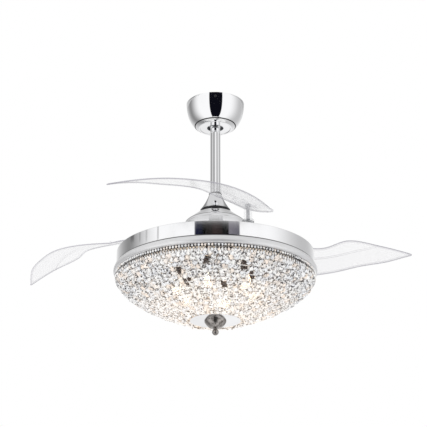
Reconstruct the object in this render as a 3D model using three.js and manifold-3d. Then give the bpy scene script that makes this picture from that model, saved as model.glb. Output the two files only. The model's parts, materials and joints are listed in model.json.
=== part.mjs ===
// A retractable blade ceiling fan with a crystal bowl light, opened.
// Millimetres, +Z up. The origin is the middle of the ceiling bracket's top face, and the fan hangs
// below it. Three clear blades turn on upright pins at the rim of a turning carrier: positive turns
// swing a blade out, negative turns fold it in over the round drum.
import * as THREE from "three";
import { mergeVertices } from "three/addons/utils/BufferGeometryUtils.js";
import Module from "manifold-3d";

const wasm = await Module();
wasm.setup();

// ---------------------------------------------------------------- driving dimensions

// fits
const seat = 0.3; // between faces that rest on each other
const running = 1; // between a turning face and a still one

// ceiling bracket, hanger ball and canopy
const bracketLength = 142;
const bracketWidth = 34;
const bracketSheet = 2.5;
const bracketLegSpread = 84;
const bracketTabHeight = 20;
const bracketFootWidth = 56;
const ballRadius = 25;
const ballDrop = 44; // ceiling to the ball's centre
const ballSeatDrop = 10.5; // ball's centre to the top of the bracket's foot
const ballPinRise = 8;
const ballPinOverhang = 4; // pin's end outside the downrod
const canopyRadius = 77.5;
const canopyDepth = 71;
const canopyWall = 1.2;
const canopyHoleRadius = 22;
const canopyFloorRadius = 44;
const canopyBulge = [74.5, -55]; // control point of its side
const canopyScrewDrop = 12;
const screwRadius = 2;
const screwHeadRadius = 3.6;
const screwHeadHeight = 2.2;
const screwLength = 12;
const mountScrewOffset = 56;
const receiverSize = [38, 70, 13];

// downrod, its yoke and their covers
const rodRadius = 13.35; // 3/4 inch pipe, 26.7 mm outside
const rodBore = 10.5;
const rodAboveBall = 18;
const rodLength = 271;
const pinRadius = 3;
const yokeRadius = 17;
const yokeSleeve = 25;
const yokeBase = 13.7;
const yokePinRise = 11;
const yokePinOverhang = 3;
const coverRise = 34.4; // rod's lower end to the top of the coupling cover
const coverHeight = 44.4;
const coverTopRadius = 16.7;
const coverFootRadius = 40.3;
const coverWall = 1.2;
const coverFlare = [0.28, 0.49]; // control point of its flare: shares of its width and height
const topRingHeight = 4.3;
const topRingShoulder = 0.6; // share of its height at which it starts to narrow
const gapRingHeight = 3.2;
const gapRingRadius = 38.5;

// motor
const shaftRadius = 10;
const shaftBore = 5.3;
const shaftClearance = 4; // shaft's face to the holes of what turns round it
const shaftTail = 15.7; // below the lamp pan
const shaftCollarRadius = 16;
const shaftCollarHeight = 4.6;
const bearingRadius = 20;
const bearingHeight = 12;
const dishNeckRadius = 41;
const dishWall = 1.2;
const dishClearance = 1.2; // its skirt round the motor's shell
const dishSkirtDrop = 56; // its top to the foot of its skirt
const dishFlareMiddle = [53, 9.5]; // control point of its flare: radius, drop
const dishFlareEnd = [71, 23.5];
const dishShoulderMiddle = 29.5; // drop of the control point of its shoulder
const dishShoulderDrop = 36; // its top to the top of its upright skirt
const rotorRadius = 78;
const rotorWall = 2.5;
const rotorDrop = 34; // top of the dish to the top of the rotor
const rotorHeight = 78.7;
const rotorSplit = 37;
const bearingHousingWall = 3.7;
const statorRadius = 68;
const statorHeight = 20;
const statorHub = 30;
const statorTeeth = 12;
const toothWidth = 9;
const windingOverhang = 9;
const windingRadius = 62;
const magnetThickness = 4;
const magnetHeight = 34;

// blade carrier, pivots and return springs
const bladeCount = 3;
const pivotInset = 34; // band's face to a blade's pivot
const carrierHubRadius = 79;
const carrierArmWidth = 46;
const carrierSheet = 3;
const carrierHole = 22;
const pivotPinRadius = 4;
const pivotHeadRadius = 7;
const pivotHeadHeight = 3;
const pivotNutHeight = 5;
const bossRadius = 10;
const springWire = 0.9;
const springRadius = 13.6;
const springPitch = 2.6;
const springCurls = 4;
const bossFlangeRadius = 16;
const bossFlangeSheet = 2;
const bossAboveBlade = 2.4;

// blades: a blade's own frame has its pivot at the origin, x towards the tip and y outwards
const bladeLength = 398; // pivot to tip
const bladeWidth = 125.5; // pivot to the outermost point
const bladeThickness = 4;
const bladeRise = 45.2; // carrier to the middle of the blade at its pivot
const bladeRootPitch = 18;
const bladeTipPitch = 11.2;
const bladeTipDrop = 36.6;
const bladeArch = 29.5;
const bladeOuterEdge = [ // share of the length, share of the width outwards
  [-0.095, 0.271],
  [-0.07, 0.526],
  [0, 0.717],
  [0.2, 0.964],
  [0.4, 1],
  [0.6, 0.809],
  [0.8, 0.538],
  [0.995, 0.024],
];
const bladeInnerEdge = [
  [-0.095, 0.064],
  [-0.07, -0.072],
  [0, -0.12],
  [0.2, -0.135],
  [0.4, 0.032],
  [0.6, -0.231],
  [0.8, -0.116],
  [0.995, -0.024],
];
const bladeStepsAlong = 16;
const bladeStepsAcross = 3;
// where each blade's pivot lies round the fan, and how far its blade is turned in from the radius
const bladeStations = {
  right: { azimuth: 51, turnedIn: 70.8 },
  front: { azimuth: 51 - 360 / bladeCount, turnedIn: 74.5 },
  left: { azimuth: 51 + 360 / bladeCount, turnedIn: 31.5 },
};
const holderSheet = 3;
const holderCentre = [24, 20];
const holderHalf = [39, 33];
const holderCorner = 4; // exponent of the plate's rounded outline
const holderReach = 0.96; // share of its half length at which the outline is cut square
const rivets = [
  [50, 8],
  [44, 40],
  [8, 41],
];
const rivetRadius = 2.2;
const rivetHeadRadius = 4.4;
const rivetHeadHeight = 1.8;
const rivetHeadRise = 1.9; // clears the blade's pitched face

// lamp drum: pan, band, lip and trim
const drumRadius = 252;
const bandHeight = 35;
const bandWall = 1.5;
const panBelowCarrier = 8;
const panSheet = 1.5;
const panRecess = 7; // band's top edge to the pan's plate
const panNutRadius = 18;
const panNutHeight = 7;
const lipHeight = 20.7;
const lipInset = 12.5; // band's face to the lip's inner face
const lipBulge = [12.75, 4]; // control point of its face: outside the band, above its foot
const trimOffset = 3.5; // trim's face outside the band's
const trimHeight = 7.5;
const trimDepth = 5;

// lamps
const lampCount = 6;
const lampCircle = 98;
const lampAzimuth = 17.3;
const stemRadius = 4.5;
const stemLength = 30;
const holderCupRadius = 13;
const holderCupHeight = 32;
const bulbRadius = 17;
const bulbLength = 60;
const bulbShoulder = 20; // its top to its widest point
const bulbCollar = [0.7, 0.3]; // where it narrows: shares of its radius and its shoulder
const bulbNeck = 0.55; // share of its radius at its top
const bulbBelly = 0.62; // share of its length down to the control point of its side
const driverSize = [44, 24, 20];
const driverPlace = [20, -79];

// crystal bowl, its frame, the bottom plate and the finial
const bowlRimInset = 0.4; // trim's face to the bowl's rim
const bowlBulgeInset = 1.1; // control point of the bowl's curve, inside its rim
const bowlBulgeDrop = 51.9;
const bowlDepth = 113.9;
const bowlFootOverPlate = 16; // bowl's foot outside the bottom plate's edge
const bowlShell = 14;
const bowlCuts = 64; // cuts round the bowl's outside
const bowlCutRows = 12;
const bowlCutDepth = 4.6;
const frameWire = 1.5;
const frameRibs = 8;
const frameRingEvery = 2; // rings on every second point of the bowl's curve
const plateRadius = 64;
const plateSheet = 2;
const plateRecess = 3.5; // bowl's foot up to the plate's underside
const plateClearance = 2; // plate's edge to the crystals round it
const centreRodRadius = 5;
const centreRodInShaft = 12;
const finialRadius = 27.5;
const finialConeHeight = 18;
const finialFootRadius = 11.5;
const finialNeckRadius = 4.5;
const finialNeckHeight = 2;
const finialBallRadius = 8.3;
const finialBore = 8;
const finialRim = 2; // upright edge at its top
const finialBelly = [0.62, 0.22]; // control point of its cone: shares of its width and height

// how finely round things are cut
const sidesLarge = 36;
const sidesMedium = 16;
const sidesSmall = 10;
const curveSteps = 4;
const bowlSteps = 6;

// ---------------------------------------------------------------- levels and places that follow

const pivotRadius = drumRadius - pivotInset;
const ballZ = -ballDrop;
const rodTopZ = ballZ + rodAboveBall;
const rodFootZ = rodTopZ - rodLength;
const yokeTopZ = rodFootZ + yokeSleeve;
const yokeFootZ = rodFootZ - seat - yokeBase;
const coverTopZ = rodFootZ + coverRise;
const coverFootZ = coverTopZ - coverHeight;
const dishTopZ = yokeFootZ - running;
const rotorTopZ = dishTopZ - rotorDrop;
const rotorFootZ = rotorTopZ - rotorHeight;
const carrierTopZ = rotorFootZ - seat;
const carrierFootZ = carrierTopZ - carrierSheet;
const panTopZ = carrierFootZ - panBelowCarrier;
const bandTopZ = panTopZ + panRecess;
const bandFootZ = bandTopZ - bandHeight;
const lipFootZ = bandFootZ - seat - lipHeight;
const trimFootZ = lipFootZ - seat - trimHeight;
const bowlTopZ = trimFootZ - seat;
const bowlFootZ = bowlTopZ - bowlDepth;
const plateFootZ = bowlFootZ + plateRecess;
const plateTopZ = plateFootZ + plateSheet;
const finialTopZ = plateFootZ - seat;
const bladeZ = carrierTopZ + bladeRise;
const springTopZ = carrierTopZ + seat + 2 * springWire + springPitch * springCurls;

// ---------------------------------------------------------------- materials

const finish = (color, roughness, metalness, opacity = 1) =>
  new THREE.MeshStandardMaterial({ color, roughness, metalness, opacity, transparent: opacity < 1 });
const finishes = {
  chrome: () => finish(0xe4e5e8, 0.06, 1),
  zincSteel: () => finish(0xb4b6b9, 0.35, 0.9),
  darkNickel: () => finish(0x77726d, 0.18, 1),
  blackRubber: () => finish(0x16161a, 0.7, 0),
  blackPlastic: () => finish(0x222226, 0.5, 0),
  brownPhenolic: () => finish(0x3a2118, 0.4, 0),
  whitePaint: () => finish(0xf0efec, 0.45, 0),
  copper: () => finish(0xb46a3c, 0.35, 0.9),
  laminatedSteel: () => finish(0x70747a, 0.5, 0.8),
  magnet: () => finish(0x3d3d40, 0.6, 0.3),
  clearAcrylic: () => finish(0xf4f3f7, 0.05, 0, 0.35),
  crystal: () => finish(0xeeeef2, 0.05, 0, 0.6),
  litGlass: () => finish(0xffe3c0, 0.3, 0, 0.9),
};

// ---------------------------------------------------------------- shape tools

// how far the flats of a many-sided ring lie inside its corners
const sag = (radius, sides) => radius * (1 - Math.cos(Math.PI / sides));
const radians = (degrees) => (degrees * Math.PI) / 180;
const mix = (a, b, t) => a + (b - a) * t;

// A closed geometry as a solid that can be joined and cut.
function solidOf(geometry) {
  const bare = new THREE.BufferGeometry();
  const loose = geometry.index ? geometry.toNonIndexed() : geometry;
  bare.setAttribute("position", loose.getAttribute("position").clone());
  const merged = mergeVertices(bare, 1e-4);
  return new wasm.Manifold(
    new wasm.Mesh({
      numProp: 3,
      vertProperties: merged.attributes.position.array,
      triVerts: new Uint32Array(merged.index.array),
    }),
  );
}

function geometryOf(solid) {
  const mesh = solid.getMesh();
  const geometry = new THREE.BufferGeometry();
  geometry.setAttribute("position", new THREE.BufferAttribute(mesh.vertProperties, 3));
  geometry.setIndex(new THREE.BufferAttribute(mesh.triVerts, 1));
  return geometry.toNonIndexed();
}

const join = (first, ...others) =>
  geometryOf(others.reduce((whole, next) => whole.add(solidOf(next)), solidOf(first)));
const cut = (body, ...tools) =>
  geometryOf(tools.reduce((rest, tool) => rest.subtract(solidOf(tool)), solidOf(body)));

// A profile of [radius, height] points turned round Z. It goes anticlockwise in the radius and
// height plane, and either closes on itself or starts and ends on the axis.
function turned(profile, sides) {
  const onAxis = profile[0][0] === 0;
  const points = (onAxis ? profile : [...profile, profile[0]]).map(([r, z]) => new THREE.Vector2(r, z));
  return new THREE.LatheGeometry(points, sides).rotateX(Math.PI / 2);
}

const rod = (radius, top, foot, sides = sidesSmall) =>
  turned([[0, foot], [radius, foot], [radius, top], [0, top]], sides);
const sleeve = (outer, inner, top, foot, sides = sidesSmall) =>
  turned([[inner, foot], [outer, foot], [outer, top], [inner, top]], sides);
const block = (sx, sy, sz, x, y, z) => new THREE.BoxGeometry(sx, sy, sz).translate(x, y, z);

// A rod along X or Y through the point given.
const crossRod = (radius, length, axis, x, y, z) => {
  const bar = rod(radius, length / 2, -length / 2, sidesSmall);
  if (axis === "x") bar.rotateY(Math.PI / 2);
  else bar.rotateX(Math.PI / 2);
  return bar.translate(x, y, z);
};

// Points of a curve of three control points, each [radius, height].
function bend(start, control, end, steps = curveSteps) {
  const at = (t, k) => (1 - t) ** 2 * start[k] + 2 * t * (1 - t) * control[k] + t ** 2 * end[k];
  return Array.from({ length: steps + 1 }, (_, i) => [at(i / steps, 0), at(i / steps, 1)]);
}

// The same curve moved sideways by a distance, to the left of its direction for positive ones.
function beside(points, distance) {
  return points.map((point, i) => {
    const before = points[Math.max(i - 1, 0)];
    const after = points[Math.min(i + 1, points.length - 1)];
    const length = Math.hypot(after[0] - before[0], after[1] - before[1]);
    const normal = [-(after[1] - before[1]) / length, (after[0] - before[0]) / length];
    return [point[0] + normal[0] * distance, point[1] + normal[1] * distance];
  });
}

// A tube of flat sides along a list of points, closed at both ends.
function tube(path, radius, sides) {
  const rings = [];
  let side = null;
  path.forEach((point, i) => {
    const before = path[Math.max(i - 1, 0)];
    const after = path[Math.min(i + 1, path.length - 1)];
    const along = after.clone().sub(before).normalize();
    if (!side) side = new THREE.Vector3(0, 0, 1).cross(along).normalize();
    side.addScaledVector(along, -side.dot(along)).normalize();
    const other = along.clone().cross(side);
    rings.push(
      Array.from({ length: sides }, (_, k) => {
        const angle = (2 * Math.PI * k) / sides;
        return point
          .clone()
          .addScaledVector(side, radius * Math.cos(angle))
          .addScaledVector(other, radius * Math.sin(angle));
      }),
    );
    side = side.clone();
  });
  const corners = [];
  const face = (...points) => points.forEach((p) => corners.push(p.x, p.y, p.z));
  for (let i = 1; i < rings.length; i++)
    for (let k = 0; k < sides; k++) {
      const next = (k + 1) % sides;
      face(rings[i - 1][k], rings[i - 1][next], rings[i][next]);
      face(rings[i - 1][k], rings[i][next], rings[i][k]);
    }
  const first = rings[0];
  const last = rings[rings.length - 1];
  for (let k = 1; k < sides - 1; k++) {
    face(first[0], first[k + 1], first[k]);
    face(last[0], last[k], last[k + 1]);
  }
  return new THREE.BufferGeometry().setAttribute("position", new THREE.Float32BufferAttribute(corners, 3));
}

// The least gap between stretches of a tube that lie more than half a curl apart on its path.
function leastGapToItself(path, radius, apart) {
  let least = Infinity;
  path.forEach((a, i) => {
    path.slice(i + apart).forEach((b) => {
      least = Math.min(least, a.distanceTo(b) - 2 * radius);
    });
  });
  return least;
}

// A sheet between a lower and an upper surface. corner(s, w, side) gives a point: s runs along the
// sheet, w across it, and side is -1 below and 1 above.
function sheet(corner, stepsAlong, stepsAcross) {
  const at = (i, j, side) => corner(i / stepsAlong, j / stepsAcross, side);
  const corners = [];
  const quad = (a, b, c, d) => [a, b, c, a, c, d].forEach((p) => corners.push(...p));
  for (let i = 0; i < stepsAlong; i++)
    for (let j = 0; j < stepsAcross; j++) {
      quad(at(i, j, 1), at(i + 1, j, 1), at(i + 1, j + 1, 1), at(i, j + 1, 1));
      quad(at(i, j, -1), at(i, j + 1, -1), at(i + 1, j + 1, -1), at(i + 1, j, -1));
    }
  for (let i = 0; i < stepsAlong; i++) {
    quad(at(i, 0, -1), at(i + 1, 0, -1), at(i + 1, 0, 1), at(i, 0, 1));
    quad(at(i, stepsAcross, -1), at(i, stepsAcross, 1), at(i + 1, stepsAcross, 1), at(i + 1, stepsAcross, -1));
  }
  for (let j = 0; j < stepsAcross; j++) {
    quad(at(0, j, -1), at(0, j, 1), at(0, j + 1, 1), at(0, j + 1, -1));
    quad(at(stepsAlong, j, -1), at(stepsAlong, j + 1, -1), at(stepsAlong, j + 1, 1), at(stepsAlong, j, 1));
  }
  return new THREE.BufferGeometry().setAttribute("position", new THREE.Float32BufferAttribute(corners, 3));
}

const fan = new THREE.Group();
const fixed = new THREE.Group();
const hanging = new THREE.Group();
const turning = new THREE.Group();
fan.add(fixed, hanging, turning);

function place(group, name, geometry, material) {
  const piece = new THREE.Mesh(geometry, material());
  piece.name = name;
  group.add(piece);
}

// ---------------------------------------------------------------- ceiling bracket and canopy

// A folded steel strap along Y: a top plate with a tab at each end for the canopy's screws, and two
// legs down to a foot whose round hole holds the hanger ball. The foot is slotted towards +X, so
// that the downrod can be lifted in from the side.
function ceilingBracket() {
  const footTop = ballZ - ballSeatDrop;
  const footZ = footTop - bracketSheet / 2;
  const legHeight = -footTop;
  const legY = bracketLegSpread / 2 - bracketSheet / 2;
  const tabY = bracketLength / 2 - bracketSheet / 2;
  const seatRadius = Math.sqrt(ballRadius ** 2 - ballSeatDrop ** 2) + seat;
  const slotWidth = 2 * (rodRadius + 1);
  let strap = join(
    block(bracketWidth, bracketLength, bracketSheet, 0, 0, -bracketSheet / 2),
    block(bracketWidth, bracketSheet, legHeight, 0, legY, -legHeight / 2),
    block(bracketWidth, bracketSheet, legHeight, 0, -legY, -legHeight / 2),
    block(bracketWidth, bracketSheet, bracketTabHeight, 0, tabY, -bracketTabHeight / 2),
    block(bracketWidth, bracketSheet, bracketTabHeight, 0, -tabY, -bracketTabHeight / 2),
    block(bracketFootWidth, bracketLegSpread, bracketSheet, 0, 0, footZ),
  );
  strap = cut(
    strap,
    rod(seatRadius, footTop + 1, footTop - bracketSheet - 1, sidesLarge),
    block(bracketFootWidth, slotWidth, bracketSheet + 2, bracketFootWidth / 2, 0, footZ),
    crossRod(screwRadius + seat, bracketLength + 2, "y", 0, 0, -canopyScrewDrop),
  );
  const screwHole = (y) => rod(screwRadius + seat, 1, -bracketSheet - 1).translate(0, y, 0);
  return cut(strap, screwHole(mountScrewOffset), screwHole(-mountScrewOffset));
}
place(fixed, "ceiling_bracket", ceilingBracket(), finishes.zincSteel);

// The screws that hold the bracket up: their heads press on the underside of its top plate.
const mountScrew = turned(
  [
    [0, -bracketSheet - seat - screwHeadHeight],
    [screwHeadRadius, -bracketSheet - seat - screwHeadHeight],
    [screwHeadRadius, -bracketSheet - seat],
    [screwRadius, -bracketSheet - seat],
    [screwRadius, 0],
    [0, 0],
  ],
  sidesSmall,
);
place(fixed, "bracket_screw_back", mountScrew.clone().translate(0, mountScrewOffset, 0), finishes.zincSteel);
place(fixed, "bracket_screw_front", mountScrew.clone().translate(0, -mountScrewOffset, 0), finishes.zincSteel);

// The canopy: upright at its rim, then bending in to a small floor with the downrod's hole.
function canopyOutline(shrink) {
  const side = bend(
    [canopyFloorRadius - shrink / 2, -canopyDepth + shrink],
    [canopyBulge[0] - shrink, canopyBulge[1] + shrink / 2],
    [canopyRadius - shrink, -seat],
  );
  return [[canopyHoleRadius, -canopyDepth + shrink], ...side];
}
const canopyShell = turned([...canopyOutline(0), ...canopyOutline(canopyWall).reverse()], sidesLarge);
const canopyScrewHole = crossRod(screwRadius + seat, 3 * canopyRadius, "y", 0, 0, -canopyScrewDrop);
place(fixed, "canopy", cut(canopyShell, canopyScrewHole), finishes.chrome);

function canopyScrew() {
  const headFoot = canopyRadius + seat;
  const screw = turned(
    [
      [0, headFoot - screwLength],
      [screwRadius, headFoot - screwLength],
      [screwRadius, headFoot],
      [screwHeadRadius, headFoot],
      [screwHeadRadius, headFoot + screwHeadHeight / 2],
      [screwHeadRadius / 2, headFoot + screwHeadHeight],
      [0, headFoot + screwHeadHeight],
    ],
    sidesSmall,
  );
  return screw.rotateX(-Math.PI / 2);
}
const backScrew = canopyScrew().translate(0, 0, -canopyScrewDrop);
const frontScrew = canopyScrew().rotateZ(Math.PI).translate(0, 0, -canopyScrewDrop);
place(fixed, "canopy_screw_back", backScrew, finishes.chrome);
place(fixed, "canopy_screw_front", frontScrew, finishes.chrome);

const receiverZ = -bracketSheet - seat - receiverSize[2] / 2;
place(fixed, "receiver_box", block(...receiverSize, 0, 0, receiverZ), finishes.blackPlastic);

// ---------------------------------------------------------------- downrod, ball and yoke

// The hanger ball, bored for the downrod, with a blind slot across it for the cross pin.
function hangerBall() {
  const ball = new THREE.SphereGeometry(ballRadius, sidesMedium, sidesSmall).rotateX(Math.PI / 2);
  ball.translate(0, 0, ballZ);
  const bore = rod(rodRadius + seat, ballZ + ballRadius + 1, ballZ - ballRadius - 1, sidesMedium);
  const pinHole = crossRod(pinRadius + seat, 2 * (ballPinReach() + seat), "y", 0, 0, ballZ + ballPinRise);
  return cut(ball, bore, pinHole);
}
const ballPinReach = () => rodRadius + ballPinOverhang;
place(hanging, "hanger_ball", hangerBall(), finishes.zincSteel);

const ballPin = crossRod(pinRadius, 2 * ballPinReach(), "y", 0, 0, ballZ + ballPinRise);
place(hanging, "ball_cross_pin", ballPin, finishes.zincSteel);

const rodPipe = cut(
  sleeve(rodRadius, rodBore, rodTopZ, rodFootZ, sidesMedium),
  crossRod(pinRadius + seat, 4 * rodRadius, "y", 0, 0, ballZ + ballPinRise),
  crossRod(pinRadius + seat, 4 * rodRadius, "x", 0, 0, rodFootZ + yokePinRise),
);
place(hanging, "downrod", rodPipe, finishes.chrome);

// The yoke: a sleeve round the rod's lower end over a base that is screwed onto the motor shaft.
const yokeBody = turned(
  [
    [shaftRadius + seat, yokeFootZ],
    [yokeRadius, yokeFootZ],
    [yokeRadius, yokeTopZ],
    [rodRadius + seat, yokeTopZ],
    [rodRadius + seat, rodFootZ - seat],
    [shaftRadius + seat, rodFootZ - seat],
  ],
  sidesMedium,
);
const yokeHole = crossRod(pinRadius + seat, 4 * yokeRadius, "x", 0, 0, rodFootZ + yokePinRise);
place(hanging, "yoke", cut(yokeBody, yokeHole), finishes.zincSteel);
const yokePin = crossRod(pinRadius, 2 * (yokeRadius + yokePinOverhang), "x", 0, 0, rodFootZ + yokePinRise);
place(hanging, "yoke_pin", yokePin, finishes.zincSteel);

// The coupling cover flares from the rod to the gap ring.
function couplingCover() {
  const flare = bend(
    [coverFootRadius, coverFootZ],
    [mix(coverTopRadius, coverFootRadius, coverFlare[0]), mix(coverTopZ, coverFootZ, coverFlare[1])],
    [coverTopRadius, coverTopZ],
  );
  const lining = beside(flare, coverWall).reverse();
  lining[0] = [rodRadius + seat, coverTopZ - coverWall];
  lining[lining.length - 1] = [coverFootRadius - 1.4 * coverWall, coverFootZ];
  return turned([...flare, [rodRadius + seat, coverTopZ], ...lining], sidesMedium);
}
place(hanging, "coupling_cover", couplingCover(), finishes.chrome);

const topRingZ = coverTopZ + seat;
const topRing = turned(
  [
    [rodRadius + seat, topRingZ],
    [coverTopRadius, topRingZ],
    [coverTopRadius, topRingZ + topRingShoulder * topRingHeight],
    [mix(rodRadius + seat, coverTopRadius, 0.5), topRingZ + topRingHeight],
    [rodRadius + seat, topRingZ + topRingHeight],
  ],
  sidesMedium,
);
place(hanging, "cover_top_ring", topRing, finishes.blackRubber);

const gapRingTop = coverFootZ - seat;
const gapRing = sleeve(gapRingRadius, yokeRadius + seat, gapRingTop, gapRingTop - gapRingHeight, sidesMedium);
place(hanging, "cover_gap_ring", gapRing, finishes.blackRubber);

// ---------------------------------------------------------------- motor, fixed half

const collarTopZ = panTopZ + seat + shaftCollarHeight;
const motorShaft = turned(
  [
    [shaftBore, panTopZ - shaftTail],
    [shaftRadius, panTopZ - shaftTail],
    [shaftRadius, panTopZ + seat],
    [shaftCollarRadius, panTopZ + seat],
    [shaftCollarRadius, collarTopZ],
    [shaftRadius, collarTopZ],
    [shaftRadius, rodFootZ - 2 * seat],
    [shaftBore, rodFootZ - 2 * seat],
  ],
  sidesMedium,
);
place(hanging, "motor_shaft", motorShaft, finishes.zincSteel);

// A toothed core: a hub ring with straight teeth. grow widens the teeth and the hub alike.
function toothedCore(top, foot, grow) {
  const teeth = Array.from({ length: statorTeeth }, (_, i) =>
    block(statorRadius + grow - statorHub / 2, toothWidth + 2 * grow, top - foot, 0, 0, (top + foot) / 2)
      .translate((statorRadius + grow + statorHub / 2) / 2, 0, 0)
      .rotateZ((2 * Math.PI * i) / statorTeeth),
  );
  const core = join(rod(statorHub + grow, top, foot, sidesMedium), ...teeth);
  return cut(core, rod(shaftRadius + seat, top + 1, foot - 1, sidesMedium));
}
const statorMiddle = (rotorTopZ + rotorFootZ) / 2;
const statorTop = statorMiddle + statorHeight / 2;
const statorFoot = statorMiddle - statorHeight / 2;
place(hanging, "stator_core", toothedCore(statorTop, statorFoot, 0), finishes.laminatedSteel);

// The copper fills the slots between the teeth and stands above and below the core.
const windingBlank = sleeve(
  windingRadius,
  statorHub + running,
  statorTop + windingOverhang,
  statorFoot - windingOverhang,
  sidesLarge,
);
const winding = cut(windingBlank, toothedCore(statorTop + seat, statorFoot - seat, seat));
place(hanging, "stator_winding", winding, finishes.copper);

// ---------------------------------------------------------------- motor, turning half

const upperBearingTop = rotorTopZ + bearingHeight + bearingHousingWall;
const lowerBearingFoot = rotorFootZ + bearingHousingWall;
const bearing = (foot) =>
  sleeve(bearingRadius, shaftRadius + seat, foot + bearingHeight, foot, sidesMedium);
const upperBearingFoot = upperBearingTop - bearingHeight;
place(turning, "upper_bearing", bearing(upperBearingFoot), finishes.zincSteel);
place(turning, "lower_bearing", bearing(lowerBearingFoot), finishes.zincSteel);

// Each shell is a cup with a housing for its bearing: the upper one's neck also carries the dish.
const housingOuter = bearingRadius + seat + bearingHousingWall;
const turningHole = shaftRadius + shaftClearance;
const upperShell = turned(
  [
    [turningHole, rotorTopZ - rotorWall],
    [rotorRadius - rotorWall, rotorTopZ - rotorWall],
    [rotorRadius - rotorWall, rotorTopZ - rotorSplit],
    [rotorRadius, rotorTopZ - rotorSplit],
    [rotorRadius, rotorTopZ],
    [housingOuter, rotorTopZ],
    [housingOuter, dishTopZ - dishWall - seat],
    [bearingRadius + seat, dishTopZ - dishWall - seat],
    [bearingRadius + seat, upperBearingFoot - seat],
    [turningHole, upperBearingFoot - seat],
  ],
  sidesMedium,
);
place(turning, "rotor_upper_shell", upperShell, finishes.zincSteel);

const lowerShellTop = rotorTopZ - rotorSplit - seat;
const lowerShell = turned(
  [
    [turningHole, rotorFootZ],
    [rotorRadius, rotorFootZ],
    [rotorRadius, lowerShellTop],
    [rotorRadius - rotorWall, lowerShellTop],
    [rotorRadius - rotorWall, rotorFootZ + rotorWall],
    [housingOuter, rotorFootZ + rotorWall],
    [housingOuter, lowerBearingFoot + bearingHeight],
    [bearingRadius + seat, lowerBearingFoot + bearingHeight],
    [bearingRadius + seat, lowerBearingFoot - seat],
    [turningHole, lowerBearingFoot - seat],
  ],
  sidesMedium,
);
place(turning, "rotor_lower_shell", lowerShell, finishes.zincSteel);

const magnetOuter = rotorRadius - rotorWall - seat;
const magnetRing = sleeve(
  magnetOuter,
  magnetOuter - magnetThickness,
  statorMiddle + magnetHeight / 2,
  statorMiddle - magnetHeight / 2,
  sidesMedium,
);
place(turning, "magnet_ring", magnetRing, finishes.magnet);

// The upper motor cover: a flared dish on the neck of the upper shell, with a skirt round the shell.
function upperMotorCover() {
  const skirtRadius = rotorRadius + dishClearance + dishWall;
  const atDrop = ([radius, drop]) => [radius, dishTopZ - drop];
  const flareEnd = atDrop(dishFlareEnd);
  const shoulder = bend(
    atDrop([skirtRadius, dishShoulderDrop]),
    atDrop([skirtRadius, dishShoulderMiddle]),
    flareEnd,
  );
  const flare = bend(flareEnd, atDrop(dishFlareMiddle), [dishNeckRadius, dishTopZ]);
  const outer = [atDrop([skirtRadius, dishSkirtDrop]), ...shoulder, ...flare.slice(1)];
  const lining = beside(outer, dishWall).reverse();
  lining[0] = [dishNeckRadius - dishWall / 2, dishTopZ - dishWall];
  lining[lining.length - 1] = atDrop([skirtRadius - dishWall, dishSkirtDrop]);
  return turned(
    [...outer, [turningHole, dishTopZ], [turningHole, dishTopZ - dishWall], ...lining],
    sidesLarge,
  );
}
place(turning, "upper_motor_cover", upperMotorCover(), finishes.chrome);

// ---------------------------------------------------------------- blade carrier and pivots

function atStation(geometry, station) {
  return geometry.translate(pivotRadius, 0, 0).rotateZ(radians(station.azimuth));
}

function bladeCarrier() {
  const thickness = carrierTopZ - carrierFootZ;
  const middle = (carrierTopZ + carrierFootZ) / 2;
  const arms = [];
  const holes = [];
  for (const station of Object.values(bladeStations)) {
    const arm = block(pivotRadius, carrierArmWidth, thickness, pivotRadius / 2, 0, middle);
    arms.push(arm.rotateZ(radians(station.azimuth)));
    arms.push(atStation(rod(carrierArmWidth / 2, carrierTopZ, carrierFootZ), station));
    holes.push(atStation(rod(pivotPinRadius + seat, carrierTopZ + 1, carrierFootZ - 1), station));
  }
  const hub = rod(carrierHubRadius, carrierTopZ, carrierFootZ, sidesMedium);
  const centre = rod(carrierHole, carrierTopZ + 1, carrierFootZ - 1, sidesMedium);
  return cut(join(hub, ...arms), centre, ...holes);
}
place(turning, "blade_carrier", bladeCarrier(), finishes.zincSteel);

const bossFootZ = carrierTopZ + seat;
const bossTopZ = bladeZ + bladeThickness / 2 + bossAboveBlade;
const pinHeadTop = carrierFootZ - seat;
const pivotPin = turned(
  [
    [0, pinHeadTop - pivotHeadHeight],
    [pivotHeadRadius, pinHeadTop - pivotHeadHeight],
    [pivotHeadRadius, pinHeadTop],
    [pivotPinRadius, pinHeadTop],
    [pivotPinRadius, bossTopZ + seat],
    [pivotHeadRadius, bossTopZ + seat],
    [pivotHeadRadius, bossTopZ + seat + pivotNutHeight],
    [0, bossTopZ + seat + pivotNutHeight],
  ],
  sidesSmall,
);

// The return spring: close curls round the foot of the blade holder's boss.
function springPath() {
  const stepsPerCurl = 8;
  const steps = springCurls * stepsPerCurl;
  const lowest = carrierTopZ + seat + springWire;
  const helix = Array.from({ length: steps + 1 }, (_, i) => {
    const angle = (2 * Math.PI * i) / stepsPerCurl;
    return new THREE.Vector3(
      springRadius * Math.cos(angle),
      springRadius * Math.sin(angle),
      lowest + (springPitch * i) / stepsPerCurl,
    );
  });
  const leg = 2 * springWire;
  const startLeg = helix[0].clone().add(new THREE.Vector3(0, -leg, 0));
  const endLeg = helix[steps].clone().add(new THREE.Vector3(0, leg, 0));
  return [startLeg, ...helix, endLeg];
}
const coil = springPath();
console.log("return spring: least gap to itself", leastGapToItself(coil, springWire, 6).toFixed(2), "mm");

for (const [side, station] of Object.entries(bladeStations)) {
  place(turning, "pivot_pin_" + side, atStation(pivotPin.clone(), station), finishes.zincSteel);
  place(turning, "return_spring_" + side, atStation(tube(coil, springWire, 5), station), finishes.zincSteel);
}

// ---------------------------------------------------------------- blades and their holders

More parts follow.
